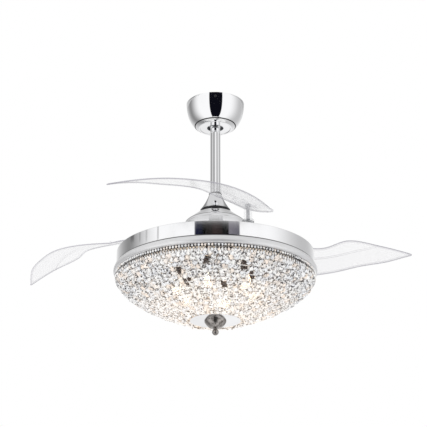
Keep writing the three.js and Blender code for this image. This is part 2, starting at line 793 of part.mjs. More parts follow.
const edgeCurve = (edge) =>
  new THREE.SplineCurve(edge.map(([along, out]) => new THREE.Vector2(along * bladeLength, out * bladeWidth)));
const outerEdge = edgeCurve(bladeOuterEdge);
const innerEdge = edgeCurve(bladeInnerEdge);

// Middle surface of a blade: it is pitched so that its outer edge is the lower one, arched along its
// length, and its tip is lower than its pivot. u is the distance along, v the distance outwards.
function bladeSurface(u, v) {
  const share = Math.max(u / bladeLength, 0);
  const pitch = radians(mix(bladeRootPitch, bladeTipPitch, share));
  const arch = bladeArch * 4 * share * (1 - share);
  return [u, v * Math.cos(pitch), arch - bladeTipDrop * share - v * Math.sin(pitch)];
}

function clearBlade() {
  const skin = sheet(
    (s, w, side) => {
      const inner = innerEdge.getPoint(s);
      const outer = outerEdge.getPoint(s);
      const [x, y, z] = bladeSurface(mix(inner.x, outer.x, w), mix(inner.y, outer.y, w));
      return [x, y, z + (side * bladeThickness) / 2];
    },
    bladeStepsAlong,
    bladeStepsAcross,
  );
  const bossHole = rod(bossRadius + seat, 2 * bladeThickness, -2 * bladeThickness);
  const rivetHoles = rivets.map(([u, v]) => {
    const [x, y, z] = bladeSurface(u, v);
    return rod(rivetRadius + seat, 2 * bladeThickness, -2 * bladeThickness, 8).translate(x, y, z);
  });
  return cut(skin, bossHole, ...rivetHoles);
}

// The holder: a rounded plate against the underside of the blade, a boss that turns on the pivot pin,
// and three rivets through the blade.
function bladeHolder() {
  const below = bladeThickness / 2 + seat + holderSheet / 2;
  const plate = sheet(
    (s, w, side) => {
      const along = mix(-holderReach, holderReach, s);
      const half = holderHalf[1] * (1 - Math.abs(along) ** holderCorner) ** (1 / holderCorner);
      const u = holderCentre[0] + holderHalf[0] * along;
      const v = holderCentre[1] + half * mix(-1, 1, w);
      const [x, y, z] = bladeSurface(u, v);
      return [x, y, z - below + (side * holderSheet) / 2];
    },
    6,
    2,
  );
  const flangeFootZ = springTopZ + seat - bladeZ;
  const flange = rod(bossFlangeRadius, flangeFootZ + bossFlangeSheet, flangeFootZ);
  const boss = rod(bossRadius, bossTopZ - bladeZ, bossFootZ - bladeZ);
  const pins = rivets.flatMap(([u, v]) => {
    const [x, y, z] = bladeSurface(u, v);
    const top = bladeThickness / 2 + rivetHeadRise;
    return [
      rod(rivetRadius, top + rivetHeadHeight / 2, -below, 8).translate(x, y, z),
      rod(rivetHeadRadius, top + rivetHeadHeight, top, 8).translate(x, y, z),
    ];
  });
  const bore = rod(pivotPinRadius + seat, bossTopZ - bladeZ + 1, bossFootZ - bladeZ - 1);
  return cut(join(plate, boss, flange, ...pins), bore);
}

const bladeGeometry = clearBlade();
const holderGeometry = bladeHolder();
for (const [side, station] of Object.entries(bladeStations)) {
  const arm = new THREE.Group();
  const azimuth = radians(station.azimuth);
  arm.position.set(pivotRadius * Math.cos(azimuth), pivotRadius * Math.sin(azimuth), bladeZ);
  arm.rotation.z = radians(station.azimuth - station.turnedIn);
  place(arm, "blade_" + side, bladeGeometry, finishes.clearAcrylic);
  place(arm, "blade_holder_" + side, holderGeometry, finishes.chrome);
  fan.add(arm);
}

// ---------------------------------------------------------------- lamp drum

const bandInner = drumRadius - bandWall;
const panOuter = bandInner - seat;
const lampPan = turned(
  [
    [shaftRadius + seat, panTopZ - panSheet],
    [panOuter - panSheet, panTopZ - panSheet],
    [panOuter - panSheet, bandFootZ],
    [panOuter, bandFootZ],
    [panOuter, panTopZ],
    [shaftRadius + seat, panTopZ],
  ],
  sidesLarge,
);
place(hanging, "lamp_pan", lampPan, finishes.whitePaint);

const panNut = cut(
  rod(panNutRadius, panTopZ - panSheet - seat, panTopZ - panSheet - seat - panNutHeight, 6),
  rod(shaftRadius + seat, panTopZ, panTopZ - 4 * panNutHeight, sidesMedium),
);
place(hanging, "pan_nut", panNut, finishes.zincSteel);

place(hanging, "drum_band", sleeve(drumRadius, bandInner, bandTopZ, bandFootZ, sidesLarge), finishes.chrome);

// The lip swells out under the band and turns in again over the trim.
const trimRadius = drumRadius + trimOffset;
const lipTopZ = bandFootZ - seat;
const lipInner = drumRadius - lipInset;
const lipCurve = bend(
  [trimRadius - bandWall, lipFootZ],
  [drumRadius + lipBulge[0], lipFootZ + lipBulge[1]],
  [drumRadius, lipTopZ],
);
const lipRing = turned([[lipInner, lipFootZ], ...lipCurve, [lipInner, lipTopZ]], sidesLarge);
place(hanging, "lip_ring", lipRing, finishes.chrome);

const trimRing = sleeve(trimRadius, trimRadius - trimDepth, lipFootZ - seat, trimFootZ, sidesLarge);
place(hanging, "bead_trim", trimRing, finishes.crystal);

// ---------------------------------------------------------------- lamps

const stemTopZ = panTopZ - panSheet - seat;
const cupTopZ = stemTopZ - stemLength;
const cupFootZ = cupTopZ - holderCupHeight;
const lampHolder = turned(
  [
    [0, cupFootZ],
    [holderCupRadius, cupFootZ],
    [holderCupRadius, cupTopZ],
    [stemRadius, cupTopZ],
    [stemRadius, stemTopZ],
    [0, stemTopZ],
  ],
  sidesSmall,
);
const bulbTopZ = cupFootZ - seat;
const bulb = turned(
  [
    ...bend(
      [0, bulbTopZ - bulbLength],
      [bulbRadius, bulbTopZ - bulbBelly * bulbLength],
      [bulbRadius, bulbTopZ - bulbShoulder],
    ),
    [bulbCollar[0] * bulbRadius, bulbTopZ - bulbCollar[1] * bulbShoulder],
    [bulbNeck * bulbRadius, bulbTopZ],
    [0, bulbTopZ],
  ],
  sidesSmall,
);
for (let lamp = 0; lamp < lampCount; lamp++) {
  const azimuth = radians(lampAzimuth + (360 * lamp) / lampCount);
  const spot = [lampCircle * Math.cos(azimuth), lampCircle * Math.sin(azimuth), 0];
  place(hanging, "lamp_holder_" + (lamp + 1), lampHolder.clone().translate(...spot), finishes.brownPhenolic);
  place(hanging, "bulb_" + (lamp + 1), bulb.clone().translate(...spot), finishes.litGlass);
}

const driverZ = stemTopZ - driverSize[2] / 2;
place(hanging, "led_driver", block(...driverSize, ...driverPlace, driverZ), finishes.brownPhenolic);

// ---------------------------------------------------------------- crystal bowl and finial

const bowlRimRadius = trimRadius - bowlRimInset;
const bowlRim = [bowlRimRadius, bowlTopZ];
const bowlBulge = [bowlRimRadius - bowlBulgeInset, bowlTopZ - bowlBulgeDrop];
const bowlFoot = [plateRadius + bowlFootOverPlate, bowlFootZ];
const bowlCurve = bend(bowlRim, bowlBulge, bowlFoot, bowlSteps);

// The crystals as one shell: the outer curve is the crystals' faces, the inner one the frame's side.
// Its foot turns in to the bottom plate. The outside is cut into a chequer of peaks and valleys: in
// every row of cuts each second corner lies deeper, by turns.
function crystalBowl() {
  const outer = bend(bowlRim, bowlBulge, bowlFoot, bowlCutRows);
  const deep = beside(outer, -bowlCutDepth);
  const inner = beside(bowlCurve, -bowlShell);
  inner[0][1] = bowlTopZ;
  const floorZ = inner[inner.length - 1][1];
  const hole = plateRadius + plateClearance;
  const inside = [...inner, [hole, floorZ], [hole, plateFootZ]];
  const rows = [...outer.map((point, i) => [point, deep[i]]).reverse(), ...inside.map((point) => [point, point])];
  const corner = (row, column) => {
    const i = row % rows.length;
    const atEnd = i === 0 || i >= bowlCutRows;
    const [r, z] = rows[i][atEnd ? 0 : (i + column) % 2];
    const angle = (2 * Math.PI * (column % bowlCuts)) / bowlCuts;
    return [r * Math.cos(angle), r * Math.sin(angle), z];
  };
  const corners = [];
  for (let row = 0; row < rows.length; row++)
    for (let column = 0; column < bowlCuts; column++) {
      const a = corner(row, column);
      const b = corner(row, column + 1);
      const c = corner(row + 1, column + 1);
      const d = corner(row + 1, column);
      const split = (row + column) % 2 ? [a, b, d, b, c, d] : [a, b, c, a, c, d];
      corners.push(...split.flat());
    }
  return new THREE.BufferGeometry().setAttribute("position", new THREE.Float32BufferAttribute(corners, 3));
}
place(hanging, "crystal_bowl", crystalBowl(), finishes.crystal);

// The wire frame inside the crystals: rings of square wire joined by ribs.
function basketFrame() {
  const inset = bowlShell + seat + sag(bowlRimRadius, sidesLarge) + 1.5 * frameWire;
  const line = beside(bowlCurve, -inset).filter((_, i) => i % frameRingEvery === 0);
  line[0] = [lipInner - sag(lipInner, sidesLarge) - seat - frameWire, lipFootZ + frameWire];
  const footRadius = plateRadius - 2 * frameWire;
  line.push([footRadius, line[line.length - 1][1]], [footRadius, plateTopZ + seat + frameWire]);
  const ring = ([r, z]) => sleeve(r + frameWire, r - frameWire, z + frameWire, z - frameWire, 3 * frameRibs);
  const rings = line.map(ring);
  const ribs = Array.from({ length: frameRibs }, (_, i) => {
    const angle = (2 * Math.PI * i) / frameRibs;
    const path = line.map(([r, z]) => new THREE.Vector3(r * Math.cos(angle), r * Math.sin(angle), z));
    return tube(path, frameWire, 4);
  });
  return join(...rings, ...ribs);
}
place(hanging, "basket_frame", basketFrame(), finishes.chrome);

const rodEndZ = finialTopZ - finialBore + seat;
const shaftEndZ = panTopZ - shaftTail;
place(
  hanging,
  "centre_rod",
  rod(centreRodRadius, shaftEndZ + centreRodInShaft, rodEndZ),
  finishes.zincSteel,
);
const bottomPlate = sleeve(plateRadius, centreRodRadius + seat, plateTopZ, plateFootZ, sidesMedium);
place(hanging, "bottom_plate", bottomPlate, finishes.chrome);

// The finial: an inverted cone with a round foot, a neck and a ball, bored for the centre rod.
function finial() {
  const coneFootZ = finialTopZ - finialConeHeight;
  const ballCentre = coneFootZ - finialNeckHeight - finialBallRadius;
  const ballSteps = 6;
  const ball = Array.from({ length: ballSteps + 1 }, (_, i) => {
    const angle = mix(-Math.PI / 2, Math.acos(finialNeckRadius / finialBallRadius), i / ballSteps);
    return [finialBallRadius * Math.cos(angle), ballCentre + finialBallRadius * Math.sin(angle)];
  });
  ball[0][0] = 0;
  const cone = bend(
    [finialFootRadius, coneFootZ],
    [mix(finialFootRadius, finialRadius, finialBelly[0]), mix(coneFootZ, finialTopZ, finialBelly[1])],
    [finialRadius, finialTopZ - finialRim],
  );
  return turned(
    [
      ...ball,
      [finialNeckRadius, coneFootZ],
      ...cone,
      [finialRadius, finialTopZ],
      [centreRodRadius + seat, finialTopZ],
      [centreRodRadius + seat, finialTopZ - finialBore],
      [0, finialTopZ - finialBore],
    ],
    sidesMedium,
  );
}
place(hanging, "finial", finial(), finishes.darkNickel);

export default fan;
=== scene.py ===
# A retractable blade ceiling fan with a crystal bowl light: chrome, clear blades and cut crystals.
# Everything is in metres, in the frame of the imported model. The fan hangs from the origin.
import json
import math

import bmesh
import bpy
import numpy as np
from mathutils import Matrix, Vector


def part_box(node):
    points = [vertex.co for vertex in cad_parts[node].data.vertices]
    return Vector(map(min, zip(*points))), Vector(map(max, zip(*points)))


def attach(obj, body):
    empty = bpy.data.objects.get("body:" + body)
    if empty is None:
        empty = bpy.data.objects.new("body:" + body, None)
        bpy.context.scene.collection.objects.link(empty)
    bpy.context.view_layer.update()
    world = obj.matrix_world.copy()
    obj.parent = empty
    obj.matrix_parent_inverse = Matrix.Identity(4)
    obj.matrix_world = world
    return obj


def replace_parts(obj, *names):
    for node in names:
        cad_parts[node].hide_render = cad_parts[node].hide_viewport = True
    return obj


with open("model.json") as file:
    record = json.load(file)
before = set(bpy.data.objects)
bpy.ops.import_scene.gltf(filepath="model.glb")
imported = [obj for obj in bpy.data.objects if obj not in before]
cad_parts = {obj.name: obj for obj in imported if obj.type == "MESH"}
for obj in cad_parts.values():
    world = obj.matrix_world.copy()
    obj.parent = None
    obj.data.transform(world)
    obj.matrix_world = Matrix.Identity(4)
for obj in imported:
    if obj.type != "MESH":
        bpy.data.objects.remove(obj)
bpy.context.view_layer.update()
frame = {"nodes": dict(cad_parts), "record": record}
tau = 2 * math.pi
millimetre = 0.001
tiny = 1e-8
# where the fan is looked at from, with lift in degrees, lens and sensor in millimetres
view = dict(spot=(-0.0048, -2.777, -1.395), lift=21.27, lens=96.67, sensor=36.0, farthest=200.0)
# the bodies that pieces ride on
ceiling, hanging, rotor = "ceiling_assembly", "hanging_assembly", "rotor"
lampNumbers = range(1, 7)
ridgeZero = 100.0  # the number of a blade's crease itself, so that 0 means that a sheet has none


# ---- what a node's box says about a round piece
def radiusOf(node):
    low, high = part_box(node)
    return max((high[0] - low[0]) / 2, (high[1] - low[1]) / 2)


def topOf(node):
    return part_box(node)[1][2]


def footOf(node):
    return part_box(node)[0][2]


def centreOf(node):
    low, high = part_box(node)
    return np.array([(a + b) / 2 for a, b in zip(low, high)])


def roundSize(node):
    return radiusOf(node), topOf(node), footOf(node)


# ---- shader maths: operators on a wrapped socket add Math nodes
def join(tree, slot, item):
    if isinstance(item, Value):
        tree.links.new(item.socket, slot)
    else:
        slot.default_value = item


def mathNode(tree, operation, items, clamp=False):
    node = tree.nodes.new("ShaderNodeMath")
    node.operation = operation
    node.use_clamp = clamp
    for slot, item in zip(node.inputs, items):
        join(tree, slot, item)
    return Value(tree, node.outputs[0])


class Value:
    def __init__(self, tree, socket):
        self.tree = tree
        self.socket = socket

    def math(self, operation, *others, clamp=False):
        return mathNode(self.tree, operation, (self, *others), clamp)

    def flipped(self, operation, other):
        return mathNode(self.tree, operation, (other, self))

    def __add__(self, other):
        return self.math("ADD", other)

    def __radd__(self, other):
        return self.flipped("ADD", other)

    def __sub__(self, other):
        return self.math("SUBTRACT", other)

    def __rsub__(self, other):
        return self.flipped("SUBTRACT", other)

    def __mul__(self, other):
        return self.math("MULTIPLY", other)

    def __rmul__(self, other):
        return self.flipped("MULTIPLY", other)

    def __truediv__(self, other):
        return self.math("DIVIDE", other)

    def __rtruediv__(self, other):
        return self.flipped("DIVIDE", other)

    def __neg__(self):
        return self.math("MULTIPLY", -1.0)

    def __abs__(self):
        return self.math("ABSOLUTE")

    def clamped(self):
        return self.math("ADD", 0.0, clamp=True)

    # 0 up to low, 1 from high on, smooth between, and the other way round where low is above high
    def ramped(self, low, high):
        t = ((self - low) / (high - low)).clamped()
        return t * t * (3.0 - 2.0 * t)


def rgba(colour):
    return (*colour, 1) if isinstance(colour, tuple) and len(colour) == 3 else colour


# A node tree whose nodes come from add(): type, settings, then values or links of its sockets.
class Shader:
    def __init__(self, tree):
        self.tree = tree
        tree.nodes.clear()

    def add(self, kind, settings=None, inputs=None, output=0):
        node = self.tree.nodes.new("ShaderNode" + kind)
        for name, setting in (settings or {}).items():
            if name == "stops":
                self.stops(node.color_ramp, setting)
            else:
                setattr(node, name, setting)
        for name, item in (inputs or {}).items():
            join(self.tree, node.inputs[name], item)
        return Value(self.tree, node.outputs[output])

    def stops(self, ramp, stops):
        while len(ramp.elements) < len(stops):
            ramp.elements.new(0.5)
        for element, (position, colour) in zip(ramp.elements, stops):
            element.position = position
            element.color = (*colour, 1)

    # 6 and 7 are a Mix node's two colours, and 2 is the colour that it gives
    def mixed(self, factor, first, second):
        inputs = {0: factor, 6: rgba(first), 7: rgba(second)}
        return self.add("Mix", {"data_type": "RGBA"}, inputs, output=2)

    def noise(self, where, scale, detail=2.0, roughness=0.5):
        sizes = {"Vector": where, "Scale": scale, "Detail": detail, "Roughness": roughness}
        return self.add("TexNoise", inputs=sizes)

    def stretched(self, where, factors):
        return self.add("Mapping", inputs={"Vector": where, "Scale": factors})

    def attribute(self, name):
        return self.add("Attribute", {"attribute_name": name}, output="Fac")

    def apart(self, where):
        node = self.tree.nodes.new("ShaderNodeSeparateXYZ")
        join(self.tree, node.inputs[0], where)
        return [Value(self.tree, output) for output in node.outputs]

    def bumped(self, height, strength, distance):
        return self.add("Bump", inputs={"Height": height, "Strength": strength, "Distance": distance})

    def shown(self, kind, surface):
        outlet = self.tree.nodes.new("ShaderNodeOutput" + kind)
        join(self.tree, outlet.inputs[0], surface)


# The least value and what a mask adds to it.
def risen(least, more, mask):
    return least + mask * more


# A principled material: constants go on its own sockets, paint(shader, place) returns what varies.
def finish(name, constants, paint):
    material = bpy.data.materials.new(name)
    material.use_nodes = True
    shader = Shader(material.node_tree)
    place = shader.add("TexCoord", output="Object")
    inputs = {socket: rgba(item) for socket, item in constants.items()}
    inputs.update(paint(shader, place))
    shader.shown("Material", shader.add("BsdfPrincipled", inputs=inputs))
    return material


# ---- finishes
# A noise is given as scale, detail and roughness, a bump as strength and distance, a ramp as where
# its mask starts and where it is whole, and rough as the least roughness and what the grain adds.
chromeLook = dict(
    colour=(0.95, 0.952, 0.965),
    haze=(0.92, 0.92, 0.93),
    rough=(0.035, 0.05),
    cloud=(18.0, 3.0),
    worn=(0.42, 0.75),
    wipe=(4.0, 4.0, 0.6),
    wipeStretch=(60.0, 60.0, 9.0),
    dent=(9.0, 1.0),
    bump=(0.04, 0.002),
)


def paintChrome(shader, place):
    wipe = shader.noise(shader.stretched(place, chromeLook["wipeStretch"]), *chromeLook["wipe"])
    worn = shader.noise(place, *chromeLook["cloud"]).ramped(*chromeLook["worn"])
    return {
        "Base Color": shader.mixed(worn, chromeLook["colour"], chromeLook["haze"]),
        "Roughness": risen(*chromeLook["rough"], worn * wipe),
        "Normal": shader.bumped(shader.noise(place, *chromeLook["dent"]), *chromeLook["bump"]),
    }


chrome = finish("polishedChrome", {"Metallic": 1.0}, paintChrome)

satinLook = dict(
    light=(0.93, 0.93, 0.94),
    dull=(0.86, 0.86, 0.87),
    # painted contact shadow along the seam where the lip meets the band
    seamShadow=(0.1, 0.098, 0.1),
    seamShadowDepth=(0.0034, 0.0018),  # a dark seam, from this far under the lip's top upwards
    rough=(0.36, 0.14),
    brush=(1.0, 4.0, 0.6),
    brushStretch=(30.0, 30.0, 2600.0),
    cloud=(14.0, 2.0),
    bump=(0.05, 0.0003),
)


# brushed round the drum: fine rings across the lip, and a painted contact shadow along the seam at the lip's
# top
def paintSatin(shader, place):
    brush = shader.noise(shader.stretched(place, satinLook["brushStretch"]), *satinLook["brush"])
    cloud = shader.noise(place, *satinLook["cloud"])
    seamShadow = shader.apart(place)[2].ramped(*(topOf("lip_ring") - depth for depth in satinLook["seamShadowDepth"]))
    metal = shader.mixed(cloud, satinLook["light"], satinLook["dull"])
    return {
        "Base Color": shader.mixed(seamShadow, metal, satinLook["seamShadow"]),
        "Roughness": risen(*satinLook["rough"], brush),
        "Normal": shader.bumped(brush, *satinLook["bump"]),
    }


satinChrome = finish("satinChrome", {"Metallic": 0.72, "Specular IOR Level": 0.5}, paintSatin)

nickelLook = dict(
    bright=(0.62, 0.585, 0.56),
    dark=(0.16, 0.145, 0.135),
    rough=(0.22, 0.2),
    grain=(420.0, 3.0, 0.7),
    patch=(95.0, 2.0),
    shares=(0.6, 0.5),  # of grain and patch in the mask
    spread=(0.42, 0.66),
    bump=(0.12, 0.0004),
)


def paintNickel(shader, place):
    grain = shader.noise(place, *nickelLook["grain"])
    patch = shader.noise(place, *nickelLook["patch"])
    mask = (grain * nickelLook["shares"][0] + patch * nickelLook["shares"][1]).ramped(*nickelLook["spread"])
    return {
        "Base Color": shader.mixed(mask, nickelLook["dark"], nickelLook["bright"]),
        "Roughness": risen(*nickelLook["rough"], grain),
        "Normal": shader.bumped(grain, *nickelLook["bump"]),
    }


darkNickel = finish("darkNickel", {"Metallic": 1.0}, paintNickel)

zincLook = dict(
    light=(0.66, 0.67, 0.68),
    dull=(0.5, 0.51, 0.53),
    rough=(0.3, 0.18),
    spangle=130.0,
    fine=(700.0, 2.0),
    shares=(0.8, 0.4),  # of spangle and fine grain in the mask
    spread=(0.25, 0.85),
    bump=(0.08, 0.0003),
)


def paintZinc(shader, place):
    spangle = shader.add("TexVoronoi", inputs={"Vector": place, "Scale": zincLook["spangle"]})
    fine = shader.noise(place, *zincLook["fine"])
    mask = (spangle * zincLook["shares"][0] + fine * zincLook["shares"][1]).ramped(*zincLook["spread"])
    return {
        "Base Color": shader.mixed(mask, zincLook["light"], zincLook["dull"]),
        "Roughness": risen(*zincLook["rough"], mask),
        "Normal": shader.bumped(fine, *zincLook["bump"]),
    }


zinc = finish("zincPlate", {"Metallic": 1.0}, paintZinc)

acrylicLook = dict(
    clear=(0.93, 0.925, 0.95),
    # band, line and ridge are the colours of painted shade that stands for refraction: by the rim, in the
    # lines and at the crease
    band=(0.72, 0.71, 0.76),
    line=(0.36, 0.35, 0.4),
    ridge=(0.3, 0.29, 0.33),
    body=0.16,  # how much the sheet hides, seen square on
    slant=0.07,  # more of it, seen along
    bandHides=0.22,
    lineHides=0.25,
    creaseHides=0.5,
    beyondHides=0.05,  # more of it, on the far side of the crease
    facingSlant=(0.45, 0.95),
    bandAt=(0.22, 0.4),  # numbers of edge
    bandTint=0.8,
    rimAt=(0.84, 0.97),
    rimFacing=(0.95, 0.3),
    rimLine=1.1,
    innerAt=0.3,
    innerWidth=(0.13, 0.03),
    innerLine=0.4,
    creaseAt=(1.5, 0.4),  # numbers of ridge
    beyondAt=(-0.5, 0.5),
    rough=(0.03, 0.05),
    ripple=(22.0, 2.0),
    rippleStretch=(1.0, 1.0, 0.4),
    bump=(0.06, 0.004),
)


# edge is 1 at a sheet's rim and falls to 0 at 9 mm from it. ridge is the way across the sheet to the
# blade's long crease, in the crease's own widths, plus ridgeZero. Both are 0 on what has no such
# attribute. The sheet's own rim face shows as a line, and less where it is seen along. The grey band
# by the rim, that rim line, the line near the band's inner end and the darker crease are painted
# shade that stands for refraction in the clear sheet.
def paintAcrylic(shader, place):
    look = acrylicLook
    flow = shader.noise(shader.stretched(place, look["rippleStretch"]), *look["ripple"])
    edge = shader.attribute("edge")
    facing = shader.add("LayerWeight", inputs={"Blend": 0.5}, output="Facing")
    # painted refraction shade: a band by the rim, lines at the rim and inside the band, and the crease
    band = edge.ramped(*look["bandAt"])
    rim = edge.ramped(*look["rimAt"]) * facing.ramped(*look["rimFacing"])
    inner = abs(edge - look["innerAt"]).ramped(*look["innerWidth"])
    line = inner * look["innerLine"] + rim * look["rimLine"]
    way = shader.attribute("ridge") - ridgeZero
    crease = abs(way).ramped(*look["creaseAt"])
    hides = look["body"] + facing.ramped(*look["facingSlant"]) * look["slant"]
    hides = hides + band * look["bandHides"] + line * look["lineHides"] + crease * look["creaseHides"]
    hides = hides + way.ramped(*look["beyondAt"]) * look["beyondHides"]
    tint = shader.mixed(band * look["bandTint"], look["clear"], look["band"])
    edged = shader.mixed(line.clamped(), tint, look["line"])
    return {
        "Base Color": shader.mixed(crease, edged, look["ridge"]),
        "Alpha": hides.clamped(),
        "Roughness": risen(*look["rough"], flow),
        "Normal": shader.bumped(flow, *look["bump"]),
    }


clearAcrylic = finish("clearAcrylic", {"IOR": 1.49, "Specular IOR Level": 0.6}, paintAcrylic)

crystalLook = dict(
    cool=(0.93, 0.945, 0.97),
    plain=(1.0, 0.995, 0.985),
    warm=(1.0, 0.9, 0.81),
    # the grey and the near-black facet colours are painted reflections and shade in the cut facets
    grey=(0.42, 0.41, 0.42),
    paintedDarkFacet=(0.03, 0.024, 0.022),
    plainAt=(0.1, 0.5),  # numbers of tone
    warmAt=(0.72, 0.98),
    greyAt=(0.38, 0.68),  # numbers of facet
    paintedDarkFacetAt=(0.64, 0.675),
    cut=(260.0, 1.0),
    cutShare=0.04,
    rough=(0.02, 0.04),
    hides=0.9,
    clearness=0.97,  # how much less of it an open crystal hides
    # painted lamp light: the crystals themselves glow with this strength
    paintedLampGlow=0.53,
    dimmed=0.6,  # how much of a crystal's colour its glow lacks
    lampWhite=(1.0, 0.86, 0.72),
    middle=(0.05, 0.012),  # squares of the way from the fan's axis, within which the lamps show
    middleShare=0.17,
    foot=(-0.53, -0.59),  # heights, below which they do
    footShare=0.15,
)


# tone is each crystal's own number from 0 to 1, facet each face's, and open is 1 on a crystal that
# shows what is behind it. High facet numbers give grey and near-black facets: painted reflections
# and shade in the cut.
def paintCrystal(shader, place):
    look = crystalLook
    tone, facet, opened = (shader.attribute(name) for name in ("tone", "facet", "open"))
    cut = shader.noise(place, *look["cut"])
    cool = shader.mixed(tone.ramped(*look["plainAt"]), look["cool"], look["plain"])
    warm = shader.mixed(tone.ramped(*look["warmAt"]), cool, look["warm"])
    greyed = shader.mixed(facet.ramped(*look["greyAt"]), warm, look["grey"])
    colour = shader.mixed((facet + cut * look["cutShare"]).ramped(*look["paintedDarkFacetAt"]), greyed, look["paintedDarkFacet"])
    # painted lamp light as glow: warm white near the fan's axis and near the bowl's foot, the crystal's own
    # dimmed colour elsewhere
    x, y, z = shader.apart(place)
    near = (x * x + y * y).ramped(*look["middle"]) * look["middleShare"]
    near = near + z.ramped(*look["foot"]) * look["footShare"]
    own = shader.mixed(look["dimmed"], colour, (0.0, 0.0, 0.0))
    return {
        "Base Color": colour,
        "Emission Color": shader.mixed(near, own, look["lampWhite"]),
        "Alpha": (look["hides"] * (1.0 - opened * look["clearness"])).clamped(),
        "Roughness": risen(*look["rough"], cut),
    }


crystalSockets = {
    "Transmission Weight": 0.25,
    "IOR": 1.4,
    "Specular IOR Level": 0.7,
    "Emission Strength": crystalLook["paintedLampGlow"],
}
crystal = finish("cutCrystal", crystalSockets, paintCrystal)

bulbLook = dict(
    core=(1.0, 0.83, 0.6),
    rim=(1.0, 0.68, 0.38),
    glass=((1.0, 0.95, 0.88), (1.0, 0.86, 0.7)),
    strength=3.5,
    blend=0.35,
    swirl=(60.0, 2.0),
    swirlShare=0.2,
)


def paintBulb(shader, place):
    facing = shader.add("LayerWeight", inputs={"Blend": bulbLook["blend"]}, output="Facing")
    swirl = shader.noise(place, *bulbLook["swirl"])
    mask = (facing + swirl * bulbLook["swirlShare"]).clamped()
    return {
        "Base Color": shader.mixed(mask, *bulbLook["glass"]),
        "Emission Color": shader.mixed(mask, bulbLook["core"], bulbLook["rim"]),
    }


litGlass = finish("litGlass", {"Roughness": 0.25, "Emission Strength": bulbLook["strength"]}, paintBulb)

whiteLook = dict(
    clean=(0.86, 0.86, 0.85), dusty=(0.8, 0.8, 0.79), cloud=(7.0, 2.0),
    rough=(0.4, 0.12), peel=(520.0, 2.0), bump=(0.1, 0.0003),
)


def paintWhite(shader, place):
    peel = shader.noise(place, *whiteLook["peel"])
    cloud = shader.noise(place, *whiteLook["cloud"])
    return {
        "Base Color": shader.mixed(cloud, whiteLook["clean"], whiteLook["dusty"]),
        "Roughness": risen(*whiteLook["rough"], peel),
        "Normal": shader.bumped(peel, *whiteLook["bump"]),
    }


whitePaint = finish("whitePaint", {}, paintWhite)


# A finish of one grain, which mixes two colours, adds to the roughness and lifts the bump.
def grained(name, kind, settings, sizes, colours, rough, bump, spread=None, constants=None):
    def paint(shader, place):
        grain = shader.add(kind, settings, {"Vector": place, **sizes})
        mask = grain.ramped(*spread) if spread else grain
        return {
            "Base Color": shader.mixed(mask, *colours),
            "Roughness": risen(*rough, grain),
            "Normal": shader.bumped(grain, *bump),
        }

    return finish(name, constants or {}, paint)


brownPhenolic = grained(
    "brownPhenolic", "TexNoise", {}, {"Scale": 380.0, "Detail": 4.0, "Roughness": 0.65},
    colours=((0.016, 0.006, 0.004), (0.05, 0.02, 0.012)), rough=(0.28, 0.2), bump=(0.1, 0.0004),
    spread=(0.3, 0.75),
)
blackRubber = grained(
    "blackRubber", "TexNoise", {}, {"Scale": 900.0, "Detail": 3.0, "Roughness": 0.5},
    colours=((0.008, 0.008, 0.01), (0.03, 0.03, 0.034)), rough=(0.5, 0.3), bump=(0.2, 0.0003),
)
blackPlastic = grained(
    "blackPlastic", "TexVoronoi", {}, {"Scale": 1300.0},
    colours=((0.012, 0.012, 0.014), (0.045, 0.045, 0.05)), rough=(0.42, 0.25), bump=(0.25, 0.0002),
)
blackOxide = grained(
    "blackOxide", "TexNoise", {}, {"Scale": 760.0, "Detail": 3.0, "Roughness": 0.5},
    colours=((0.012, 0.012, 0.015), (0.04, 0.04, 0.046)), rough=(0.42, 0.2), bump=(0.1, 0.0002),
    constants={"Metallic": 0.4, "Specular IOR Level": 0.3},
)
copper = grained(
    "enamelledCopper", "TexWave", {"wave_type": "RINGS", "rings_direction": "Z"},
    {"Scale": 420.0, "Distortion": 1.5, "Detail": 1.0},
    colours=((0.42, 0.16, 0.06), (0.8, 0.42, 0.2)), rough=(0.22, 0.2), bump=(0.5, 0.0006),
    constants={"Metallic": 0.9},
)
laminatedSteel = grained(
    "laminatedSteel", "TexWave", {"wave_type": "BANDS", "bands_direction": "Z"},
    {"Scale": 330.0, "Distortion": 0.4},
    colours=((0.2, 0.21, 0.23), (0.5, 0.51, 0.54)), rough=(0.35, 0.25), bump=(0.35, 0.0004),
    constants={"Metallic": 0.85},
)
ferrite = grained(
    "ferrite", "TexNoise", {}, {"Scale": 640.0, "Detail": 5.0, "Roughness": 0.7},
    colours=((0.03, 0.03, 0.034), (0.1, 0.1, 0.105)), rough=(0.45, 0.2), bump=(0.2, 0.0003),
    constants={"Metallic": 0.2},
)

slotFinish = {
    "chrome": chrome,
    "zinc_steel": zinc,
    "dark_nickel": darkNickel,
    "black_rubber": blackRubber,
    "black_plastic": blackPlastic,
    "brown_phenolic": brownPhenolic,
    "white_paint": whitePaint,
    "copper": copper,
    "laminated_steel": laminatedSteel,
    "magnet": ferrite,
    "clear_acrylic": clearAcrylic,
    "crystal": crystal,
    "lit_glass": litGlass,
}
slotOfNode = {part["node"]: part["material_slot"] for part in frame["record"]["subparts"]}
for node, thing in frame["nodes"].items():
    thing.data.materials.clear()
    thing.data.materials.append(slotFinish[slotOfNode[node]])
for node in ("canopy_screw_front", "canopy_screw_back"):
    frame["nodes"][node].data.materials[0] = blackOxide
print("finishes:", len(slotFinish))


# ---- surfaces
def listed(faces):
    return faces.tolist() if hasattr(faces, "tolist") else faces


